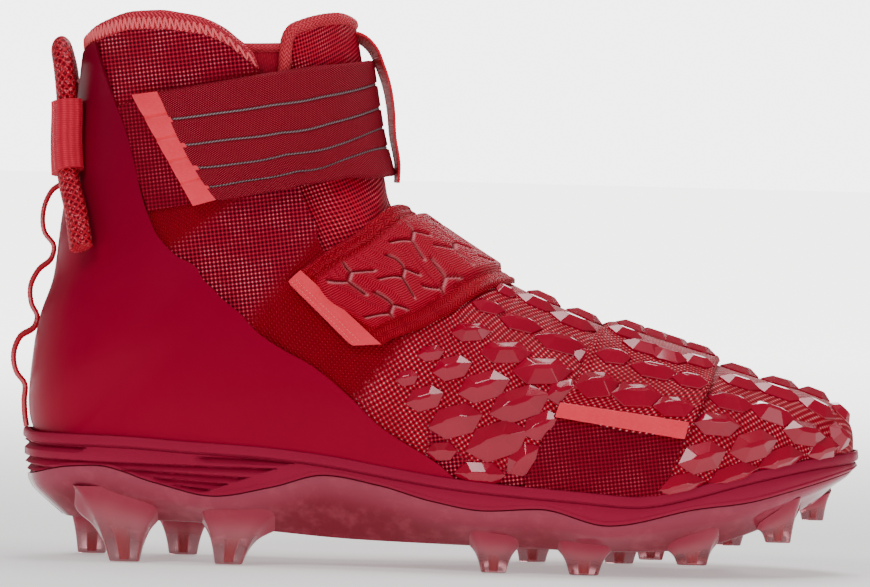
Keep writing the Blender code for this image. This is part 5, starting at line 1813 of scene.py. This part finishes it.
STRAP_LUGS = (
    (634, 331, 13, 8, -16),
    (622, 343, 13, 7, -10),
    (660, 340, 14, 8, -18),
    (609, 362, 13, 7.5, 10),
    (640, 356, 16, 8, -4),
    (676, 348, 14, 7.5, -14),
    (664, 364, 15, 8, -6),
    (700, 359, 13, 7, -12),
    (652, 376, 17, 8, -3),
    (596, 388, 15.5, 9, 10),
    (696, 371, 13, 7, -8),
    (633, 398, 18, 8.5, 4),
    (686, 388, 13.5, 7, 4),
    (672, 409, 14.5, 7, 6),
)
TOE_LUGS = (
    (746, 374, 14, 8, -12),
    (740, 385, 15, 7.5, -6),
    (786, 382, 14, 8, -12),
    (780, 395, 18, 8, -4),
    (822, 394, 12, 8, -22),
    (731, 401, 17, 8, 2),
    (819, 410, 15, 8, -8),
    (772, 414, 18, 8.5, 0),
    (717, 424, 17, 8, 4),
    (846, 417, 9, 7, -40),
    (805, 434, 18, 8.5, 2),
    (752, 445, 19, 9.5, 15),
    (842, 438, 12, 9, -16),
    (701, 456, 18, 9.5, 15),
    (782, 461, 19, 8.5, 9),
    (826, 452, 16, 8, 4),
    (731, 475, 20, 8, 12),
    (678, 485, 20, 8, 8),
)


def lay_lugs(form, lug, name, table, lift, finishes):
    """Copies of the lug, each laid on the lateral side, and on the medial side where it is off the ridge."""
    shape = [vertex.co[:] for vertex in lug.data.vertices]
    copies = []
    for across, down, long, wide, slope in table:
        station, share = form.spot(*seen(across, down))
        for side in (1.0, -1.0):
            if side < 0.0 and abs(share) < RIDGE_SHARE:
                continue
            place = np.array([station]), np.array([share * side])
            middle, normal = form.at(*place)[0], form.out(*place)[0]
            angle = math.radians(slope)
            run = np.array((math.cos(angle), 0.0, math.sin(angle)))
            run = unit(run - normal * np.dot(run, normal))
            rise = np.cross(normal, run) * side
            copy = lug.copy()
            copy.data = lug.data.copy()
            bpy.context.scene.collection.objects.link(copy)
            for k, (x, y, z) in enumerate(shape):
                spot = Vector(middle + run * x * long * LUG_LONG + rise * y * wide * LUG_WIDE)
                near, facing, _, _ = form.tree.find_nearest(spot)
                facing = (Vector(normal) * 0.4 + facing * 0.6).normalized()
                high = {-0.5: -0.0012, 0.5: 0.0005, 1.5: 0.0009 + 0.00022 * wide}[round(z, 1)]
                copy.data.vertices[k].co = near + facing * (lift + high)
            copies.append(copy)
    piece = joined(name, copies)
    turn_outwards(piece)
    finish_modifier(piece, "BEVEL", width=0.00016, segments=1, limit_method="ANGLE", angle_limit=0.35)
    smooth(piece, 9)
    dress(piece, finishes)


# Sole


def sole_loop():
    """The upper's edge on the sole as a closed loop from the toe: lateral side, heel, medial side."""
    stations = np.linspace(0.0, HEEL_STATION, 321)
    ends = np.array([form_points(station, np.array((-1.0, 1.0))) for station in stations])
    lateral, medial = ends[:, 0], ends[:, 1]
    lateral[-1, 2] = medial[-1, 2] = lateral[-7, 2]
    places = np.concatenate((lateral, medial[-2:0:-1]))
    turned = np.roll(places, -1, axis=0) - np.roll(places, 1, axis=0)
    outward = unit(np.column_stack((turned[:, 1], -turned[:, 0], np.zeros(len(places)))))
    if outward[0, 0] < 0.0:
        outward = -outward
    for _ in range(24):
        outward = unit(outward + np.roll(outward, 1, axis=0) + np.roll(outward, -1, axis=0))
        places[:, 2] = (places[:, 2] + np.roll(places[:, 2], 1) + np.roll(places[:, 2], -1)) / 3.0
    return places, outward


class SoleLoop:
    """The loop with the sole's heights and reaches along it."""

    def __init__(self):
        self.places, self.outward = sole_loop()
        along = self.places[:, 0] / SHOE_LENGTH
        self.rim = self.places[:, 2] + TUCK
        self.reach = curve(LIP_LINE, along)[:, 1] * BALL_WIDTH
        wave = curve(WAVE_LINE, along)[:, 1] * COLLAR_HEIGHT
        self.wave = np.minimum(wave, self.rim - LIP_HEIGHT - 0.0016)

    def ring(self, reach, height):
        found = self.places + self.outward * (np.ones(len(self.places)) * reach)[:, None]
        found[:, 2] = height
        return found - CENTRE

    def low_ring(self, reach, part, lift, column=2):
        """A ring over the plate's underside, or with column 1 over the footbed."""
        found = self.ring(reach, 0.0) + CENTRE
        base = curve(SOLE_LINE, found[:, 0] / SHOE_LENGTH)[:, column] * COLLAR_HEIGHT
        found[:, 2] = base + part * (self.wave - base) + lift
        return found - CENTRE


def rounded(rings, steps):
    """More rings between rings, on a smooth line through them."""
    rings = np.array(rings)
    found = []
    for k in range(len(rings) - 1):
        before = rings[max(k - 1, 0)]
        after = rings[min(k + 2, len(rings) - 1)]
        for t in np.linspace(0.0, 1.0, steps, endpoint=False):
            slopes = (rings[k + 1] - before) / 2, (after - rings[k]) / 2
            found.append(smooth_line(t, rings[k], rings[k + 1], *slopes))
    found.append(rings[-1])
    return found


def ring_body(name, rings):
    """A body from closed rings: a grid rolled into a tube and closed at both ends."""
    rings = np.array(rings)
    levels, count = rings.shape[0], rings.shape[1]
    piece = grid_sheet(name, count, levels - 1)
    a, b = fractions(piece)
    i = np.round(b * (levels - 1)).astype(int)
    j = np.round(a * count).astype(int) % count
    points = rings[i, j]
    piece.data.vertices.foreach_set("co", points.ravel())
    piece.data.update()
    steps = np.linalg.norm(np.diff(rings, axis=0), axis=2)
    rise = np.concatenate((np.zeros((1, count)), np.cumsum(steps, axis=0)))
    write_lengths(piece, lengths_along(rings[levels // 2])[j], rise[i, j])
    merge_close(piece, 1e-7)
    close_ends(piece, bpy.ops.mesh.fill, use_beauty=True)
    return piece


# Louvres pressed in the heel's side wall, by place in the photograph: from and to
SIDE_GROOVES = (
    (10, 444.5, 87, 448.5),
    (194, 457.0, 330, 462.0),
    (10, 459.0, 330, 471.5),
    (117, 469.5, 300, 482.0),
    (150, 478.0, 260, 487.5),
    (168, 484.5, 230, 493.0),
    (10, 466.0, 67, 471.0),
    (10, 472.5, 55, 477.5),
)
GROOVE_STEP = 0.0021
GROOVE_DEPTH = 0.0021
STEP_LINE = ((205, 492), (300, 461))


def groove_depth(x, z):
    """Depth of the louvres: sharp above, sloping out again below, ended in front by the slanting step."""
    depth = np.zeros(x.shape)
    (x0, z0), (x1, z1) = (seen(*spot) for spot in STEP_LINE)
    step_x = x0 + (z - z0) * (x1 - x0) / (z1 - z0)
    for a0, b0, a1, b1 in SIDE_GROOVES:
        (gx0, gz0), (gx1, gz1) = seen(a0, b0), seen(a1, b1)
        line = gz0 + (gz1 - gz0) * (x - gx0) / (gx1 - gx0)
        below = line - z
        near = np.clip((np.minimum(gx1 - below, step_x) - x) / 0.0010, 0.0, 1.0)
        near *= np.clip((x - gx0 - below) / 0.0030, 0.0, 1.0)
        shape = np.where(below > 0.0, np.clip(1.0 - below / GROOVE_STEP, 0.0, 1.0), 0.0)
        shape = np.where(below <= 0.0, np.clip(1.0 + below / 0.0004, 0.0, 1.0), shape)
        depth = np.maximum(depth, shape * near)
    return depth * GROOVE_DEPTH


def build_sole():
    """The sole frame with its lip, groove line and louvres, the insole, and the clear plate under them."""
    loop = SoleLoop()
    reach, rim, wave = loop.reach, loop.rim, loop.wave
    at_wave = reach - 0.0019
    bed = 0.0012 + GAP
    under = rim - LIP_HEIGHT
    rings = [
        loop.low_ring(-0.0068, 0.0, 0.0, column=1),
        loop.ring(-0.0034, rim - TUCK - GAP),
        loop.ring(GAP + 0.0001, rim - TUCK - GAP),
        loop.ring(bed, rim - 0.0004),
        loop.ring(bed + 0.0004, rim),
        loop.ring(reach - 0.0008, rim),
        loop.ring(reach - 0.0002, rim - 0.0003),
        loop.ring(reach, rim - 0.0010),
        loop.ring(reach + 0.0001, rim - 0.0022),
        loop.ring(reach, under + 0.0003),
        loop.ring(reach - 0.0004, under),
        loop.ring(reach - 0.0012, under - 0.0002),
        loop.ring(reach - 0.0012, under - 0.0006),
        loop.ring(reach - 0.0007, under - 0.0009),
    ]
    top = under - 0.0009
    for t in np.linspace(0.0, 1.0, WALL_RINGS + 1)[1:]:
        height = top + (wave + GAP - top) * t
        bow = 0.0006 * np.sin(t * math.pi)
        hem = 0.0005 * np.exp(-(((height - wave - 0.0009) / 0.0008) ** 4))
        out = reach - 0.0007 + (at_wave - reach + 0.0007) * t + bow + hem
        rings.append(loop.ring(out - groove_depth(loop.places[:, 0], height), height))
    rings += [
        loop.ring(at_wave - SKIRT - GAP, wave + GAP),
        loop.low_ring(at_wave - 0.0050, 0.60, 0.0017),
        loop.low_ring(reach - 0.0111, 0.35, 0.0037),
        loop.low_ring(reach - 0.0160, 0.0, PLATE + GAP + 0.0001),
    ]
    frame_piece = ring_body("sole_frame", rings)
    smooth(frame_piece, 38)
    dress(frame_piece, [sole_finish()], ["midsole"])

    edge = ((-0.0076, 0.0), (-0.0070, 0.0008), (-0.0067, INSOLE - 0.0006), (-0.0072, INSOLE))
    insole = ring_body("insole_sheet", [loop.low_ring(out, 0.0, GAP + lift, column=1) for out, lift in edge])
    smooth(insole, 40)
    dress(insole, [lining_finish("insole cloth", "#780412", "#a01428")], ["insole"])

    outer = rounded(
        [
            loop.low_ring(reach - 0.0150, 0.0, 0.0),
            loop.low_ring(reach - 0.0085, 0.35, 0.0),
            loop.low_ring(at_wave - 0.0024, 0.60, 0.0),
            loop.low_ring(at_wave - 0.0005, 0.82, 0.0),
            loop.ring(at_wave, wave - 0.0002),
        ],
        5,
    )
    inner = [
        loop.ring(at_wave - 0.0003, wave),
        loop.ring(at_wave - SKIRT, wave),
        loop.low_ring(at_wave - 0.0046, 0.60, 0.0011),
        loop.low_ring(reach - 0.0106, 0.35, 0.0030),
        loop.low_ring(reach - 0.0156, 0.0, PLATE),
    ]
    plate = ring_body("clear_plate", outer + inner)
    heights = np.array([vertex.co.z for vertex in plate.data.vertices])
    lengths = np.array([vertex.co.x for vertex in plate.data.vertices]) + CENTRE_ALONG
    top = curve(WAVE_LINE, lengths / SHOE_LENGTH)[:, 1] * COLLAR_HEIGHT
    write_values(plate, "down", np.clip((top - heights) / 0.014, 0.0, 1.0))
    smooth(plate, 40)
    finish = clear_finish("clear plate", "#a43850", "#7c0022", 0.12, 0.04)
    dress(plate, [finish], ["outsole"])


def plate_height(x, y):
    """Height of the plate's outer face over a place on the ground."""
    along = x / SHOE_LENGTH
    table = np.array([row for row in LOW_LINE if row[0] <= HEEL_STATION])
    order = np.argsort(table[:, 1])
    edge = table[order, 4] if y > 0.0 else table[order, 3]
    inset = np.interp(along, table[order, 1], edge) * BALL_WIDTH - abs(y)
    underside = curve(SOLE_LINE, along)[0, 2] * COLLAR_HEIGHT
    tall = curve(WAVE_LINE, along)[0, 1] * COLLAR_HEIGHT - underside
    rise = np.interp(inset, (0.0012, 0.0056, 0.0120), (0.60, 0.35, 0.0))
    return underside + rise * tall


def stud_body(name, row, shrink, down_to, up_by, square, lean):
    """One tapered stud from a foot on the ground up into the plate, its root leaning along the shoe."""
    along, across, foot, foot_long, foot_wide, root_long, root_wide = row
    root_long += abs(lean) * 1.6
    x, y = along * SHOE_LENGTH, across * BALL_WIDTH
    piece = grid_sheet(name, 40, 14)
    a, down = fractions(piece)
    taper = curve(STUD_RINGS, down)[:, 1]
    long = (root_long + (foot_long - root_long) * taper) * SHOE_LENGTH / 2 * shrink[0]
    wide = (root_wide + (foot_wide - root_wide) * taper) * BALL_WIDTH / 2 * shrink[1]
    angle = a * 2.0 * math.pi
    cos, sin = np.cos(angle), np.sin(angle)
    reach = (np.abs(cos) ** square + np.abs(sin) ** square) ** (-1.0 / square)
    px, py = x + lean * SHOE_LENGTH * (1.0 - taper) + long * cos * reach, y + wide * sin * reach
    root = np.array([plate_height(i, j) for i, j in zip(px, py)]) + up_by
    low = foot * COLLAR_HEIGHT + down_to
    pz = root + (low - root) * down
    points = np.column_stack((px, py, pz)) - CENTRE
    piece.data.vertices.foreach_set("co", points.ravel())
    write_lengths(piece, a * 0.04, down * 0.02)
    write_values(piece, "down", down)
    merge_close(piece, 1e-7)
    select_only(piece)
    bpy.ops.object.mode_set(mode="EDIT")
    bpy.ops.mesh.select_mode(type="EDGE")
    bpy.ops.mesh.select_all(action="DESELECT")
    bpy.ops.mesh.select_non_manifold()
    bpy.ops.mesh.edge_face_add()
    bpy.ops.object.mode_set(mode="OBJECT")
    turn_outwards(piece)
    return piece


def build_studs():
    """Clear studs, and the red blade moulded in each of them."""
    shells, cores = [], []
    for k, row in enumerate(STUDS):
        lean = STUD_LEAN.get(k, 0.0)
        shells.append(stud_body("stud", row, (1.0, 1.0), 0.0, 0.0006, 5.0, lean))
        cores.append(stud_body("core", row, (0.34, 0.66), 0.0008, -0.0002, 3.0, lean))
    shell = joined("clear_studs", shells)
    finish_modifier(shell, "BEVEL", width=0.0005, segments=3, limit_method="ANGLE", angle_limit=0.9)
    smooth(shell, 40)
    dress(shell, [clear_finish("clear stud", "#b4304c", "#fcb0b8", 0.30, 0.92)])
    core = joined("stud_cores", cores)
    smooth(core, 50)
    dress(core, [core_finish()])


# Rope, tapes and pulls


def tube_piece(name, path, frames, section):
    """A tube along a path. Section gives its two reaches and its relief at an angle and a length."""
    count = len(path) - 1
    piece = grid_sheet(name, count, 36)
    a, b = fractions(piece)
    i = np.round(a * count).astype(int)
    angle = b * 2.0 * math.pi
    first, second = frames
    length = lengths_along(path)[i]
    across, out, relief = section(angle, length)
    points = path[i] + first[i] * (across * relief)[:, None] + second[i] * (out * relief)[:, None]
    piece.data.vertices.foreach_set("co", points.ravel())
    write_lengths(piece, length, b * 0.024)
    merge_close(piece, 1e-7)
    close_ends(piece, bpy.ops.mesh.edge_face_add)
    smooth(piece, 60)
    return piece


def rope_line(side):
    """Points of one leg of the rope, from its lower end up."""
    return np.array(ROPE_PATH) * (SHOE_LENGTH, side * BALL_WIDTH, COLLAR_HEIGHT)


def rope_frames(path):
    """Directions round the ankle and away from it, square to the rope."""
    along = directions(path)
    axis = np.column_stack((np.full(len(path), 0.050), np.zeros(len(path)), path[:, 2]))
    away = square_to(along, path - axis)
    return np.cross(along, away), away


def build_rope():
    """The braided rope loop behind the heel, with a webbing sleeve on each leg."""
    path = polyline(np.vstack((rope_line(-1.0), rope_line(1.0)[-2::-1])), 0.0005)
    path[:, 0] -= ROPE_BACK

    def braid(angle, length):
        first = np.sin(length * 2.0 * math.pi / BRAID_PITCH + angle * BRAID_STRANDS)
        second = np.sin(length * 2.0 * math.pi / BRAID_PITCH - angle * BRAID_STRANDS)
        relief = 1.0 + 0.05 * np.maximum(first, second)
        return np.cos(angle) * ROPE_WIDTH / 2, np.sin(angle) * ROPE_THICKNESS / 2, relief

    def sleeve(angle, _):
        flat = (np.abs(np.cos(angle)) ** 3 + np.abs(np.sin(angle)) ** 3) ** (-1.0 / 3.0)
        grow = GAP + 0.0002 + SLEEVE_WALL
        across = np.cos(angle) * flat * (ROPE_WIDTH / 2 + grow)
        out = np.sin(angle) * flat * (ROPE_THICKNESS / 2 + grow)
        return across, out, 1.0 + 0.012 * np.sin(angle * 14.0)

    piece = tube_piece("heel_rope_braid", path - CENTRE, rope_frames(path), braid)
    dress(piece, [braid_finish()], ["heel_rope"])
    webbing = webbing_finish("sleeve webbing", "#a8102a", "#e83448", 1.7, 0.8)
    for name, node, side in (
        ("rope_sleeve_outer", "rope_sleeve_lateral", -1.0),
        ("rope_sleeve_inner", "rope_sleeve_medial", 1.0),
    ):
        part = polyline(rope_line(side), 0.0004)
        height = part[:, 2] / COLLAR_HEIGHT
        part = part[(height >= SLEEVE_SPAN[0]) & (height <= SLEEVE_SPAN[1])]
        part[:, 0] -= ROPE_BACK
        cover = tube_piece(name, part - CENTRE, rope_frames(part), sleeve)
        dress(cover, [webbing], [node])


def build_ribbon(name, node, table, width, finish, twist):
    """A flat ribbon in the shoe's long plane, ribbed, with woven edges, twisted a little to the side."""
    corners = [(x * SHOE_LENGTH, 0.0, z * COLLAR_HEIGHT) for x, z in table]
    path = polyline(corners, 0.00045) - CENTRE
    along = directions(path)
    to_medial = np.array((0.0, 1.0, 0.0))
    flat = np.column_stack((along[:, 2], np.zeros(len(path)), -along[:, 0]))
    turn = np.radians(np.linspace(*twist, len(path)))[:, None]
    crosswise = to_medial * np.cos(turn) + flat * np.sin(turn)
    normal = flat * np.cos(turn) - to_medial * np.sin(turn)
    count = len(path) - 1
    piece = grid_sheet(name, count, 12)
    length = lengths_along(path)

    def place(a, b):
        i = np.round(a * count).astype(int)
        across = (b - 0.5) * width
        rib = 0.00006 * np.sin(length[i] * 2.0 * math.pi / RIB_PITCH)
        edge = 0.00015 * np.exp(-(((np.abs(b - 0.5) - 0.44) / 0.04) ** 2))
        out = normal[i] * (RIBBON / 2 + rib + edge)[:, None]
        return path[i] + crosswise[i] * across[:, None] + out, normal[i]

    lay(piece, place)
    thicken(piece, RIBBON)
    smooth(piece, 50)
    return dress(piece, [finish], [node])


# Studio


LIGHTS = (
    # name, place, aim, size, power
    ("key", (-0.9, -1.3, 1.5), (0.0, 0.0, 0.08), (0.7, 0.7), 15.0),
    ("top", (0.2, 0.1, 1.7), (0.0, 0.0, 0.1), (1.4, 0.5), 18.0),
    ("fill", (1.2, -1.5, 0.6), (0.0, 0.0, 0.08), (0.8, 0.8), 5.0),
    ("rim", (0.5, 1.5, 0.9), (0.0, 0.0, 0.1), (0.8, 0.5), 8.0),
)
AROUND = 0.20
BACKDROP = 4.8
FLOOR_DROP = 0.0004


def build_studio():
    """A round floor of pale paper with a painted glow, a bright backdrop for the camera only, and four soft lights.
    """
    select_only()
    place = (0.0, 0.0, -FLOOR_DROP)
    bpy.ops.mesh.primitive_circle_add(vertices=96, radius=14.0, fill_type="NGON", location=place)
    floor = bpy.context.active_object
    floor.name = "studio_floor"
    bpy.ops.object.transform_apply(location=True, rotation=True, scale=True)
    floor.data.materials.append(floor_finish())
    world = bpy.data.worlds.new("studio")
    bpy.context.scene.world = world
    world.use_nodes = True
    nodes, links = world.node_tree.nodes, world.node_tree.links
    around, paper = nodes["Background"], nodes.new("ShaderNodeBackground")
    for light, strength in ((around, AROUND), (paper, BACKDROP)):
        light.inputs["Color"].default_value = (1.0, 1.0, 1.0, 1.0)
        light.inputs["Strength"].default_value = strength
    ray = nodes.new("ShaderNodeLightPath")
    both = nodes.new("ShaderNodeMixShader")
    links.new(ray.outputs["Is Camera Ray"], both.inputs[0])
    links.new(around.outputs[0], both.inputs[1])
    links.new(paper.outputs[0], both.inputs[2])
    links.new(both.outputs[0], nodes["World Output"].inputs["Surface"])
    for name, place, aim, size, power in LIGHTS:
        select_only()
        bpy.ops.object.light_add(type="AREA", location=place)
        light = bpy.context.active_object
        light.name = name
        light.data.shape = "RECTANGLE"
        light.data.size, light.data.size_y = size
        light.data.energy = power
        turn = (Vector(aim) - Vector(place)).to_track_quat("-Z", "Y")
        light.rotation_euler = turn.to_euler()


def build_camera():
    """The photograph's view: level with the ankle, square to the lateral side, rolled a little."""
    place = Vector((-0.0010, -2.5, 0.165))
    aim = Vector((-0.0010, 0.0010, 0.099))
    select_only()
    bpy.ops.object.camera_add(location=place)
    camera = bpy.context.active_object
    turn = (aim - place).to_track_quat("-Z", "Y").to_matrix().to_4x4()
    camera.matrix_world = Matrix.Translation(place) @ turn @ Matrix.Rotation(math.radians(1.45), 4, "Z")
    camera.data.lens = 283.6
    camera.data.sensor_width = 36.0
    bpy.context.scene.camera = camera


def main():
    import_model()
    build_studio()
    build_camera()
    form = Form()
    vamp = vamp_finish()
    lining = lining_finish("lining cloth", "#8c0818", "#c42840")
    binding = tape_finish("binding knit", "#a8182c", "#fa5060", 1.5, 0.5)
    bound_edge = tape_finish("bound edge", "#b41c30", "#ff5a64", 1.6, 0.5)
    wrap = knit_finish("wrap cloth", "#480008", "#80061c", "#d05064", 1.4, 0.14, 0.0, 0.25)
    thread = thread_finish()
    build_upper(form, [vamp, lining])
    build_heel_panel(form, [shell_finish()])
    build_ankle_strap(form, [elastic_finish(), groove_finish()])
    build_midfoot_strap(form, [pad_finish(), tape_finish("edge tape", "#84000f", "#c81c34")])
    build_forefoot_strap(form, [vamp])
    build_tabs(form, [tab_finish()])
    sew_tab(form, thread)
    build_ankle_band(form, [wrap])
    build_wrap_panel(form, [wrap])
    build_tongue(form, [knit_finish("tongue knit", "#4c0008", "#b80c2c", "#ff98a0", 1.5, 0.30, 1.0), lining])
    build_tongue_binding(form, bound_edge)
    build_binding(form, [binding])
    sew_collar(form, thread)
    build_bootie(form, lining, binding)
    lug, moulded = gem_lug(), [lug_finish()]
    lay_lugs(form, lug, "vamp_lugs", VAMP_LUGS, 0.0, moulded)
    lay_lugs(form, lug, "toe_lugs", TOE_LUGS, 0.0, moulded)
    lay_lugs(form, lug, "strap_lugs", STRAP_LUGS, STRAP_LUG_LIFT, moulded)
    bpy.data.objects.remove(lug)
    build_sole()
    build_studs()
    build_rope()
    ribbon = webbing_finish("pull ribbon", "#a8081c", "#ee3848", 1.4, 0.9)
    build_ribbon("tongue_pull_ribbon", "tongue_pull", TONGUE_PULL, PULL_WIDTH, ribbon, (17.0, 7.0))
    tape = webbing_finish("heel tape", "#9c0418", "#d82438", 1.3, 0.9)
    build_ribbon("heel_tape_loops", "heel_tape", HEEL_TAPE, TAPE_WIDTH, tape, (12.0, 16.0))


main()
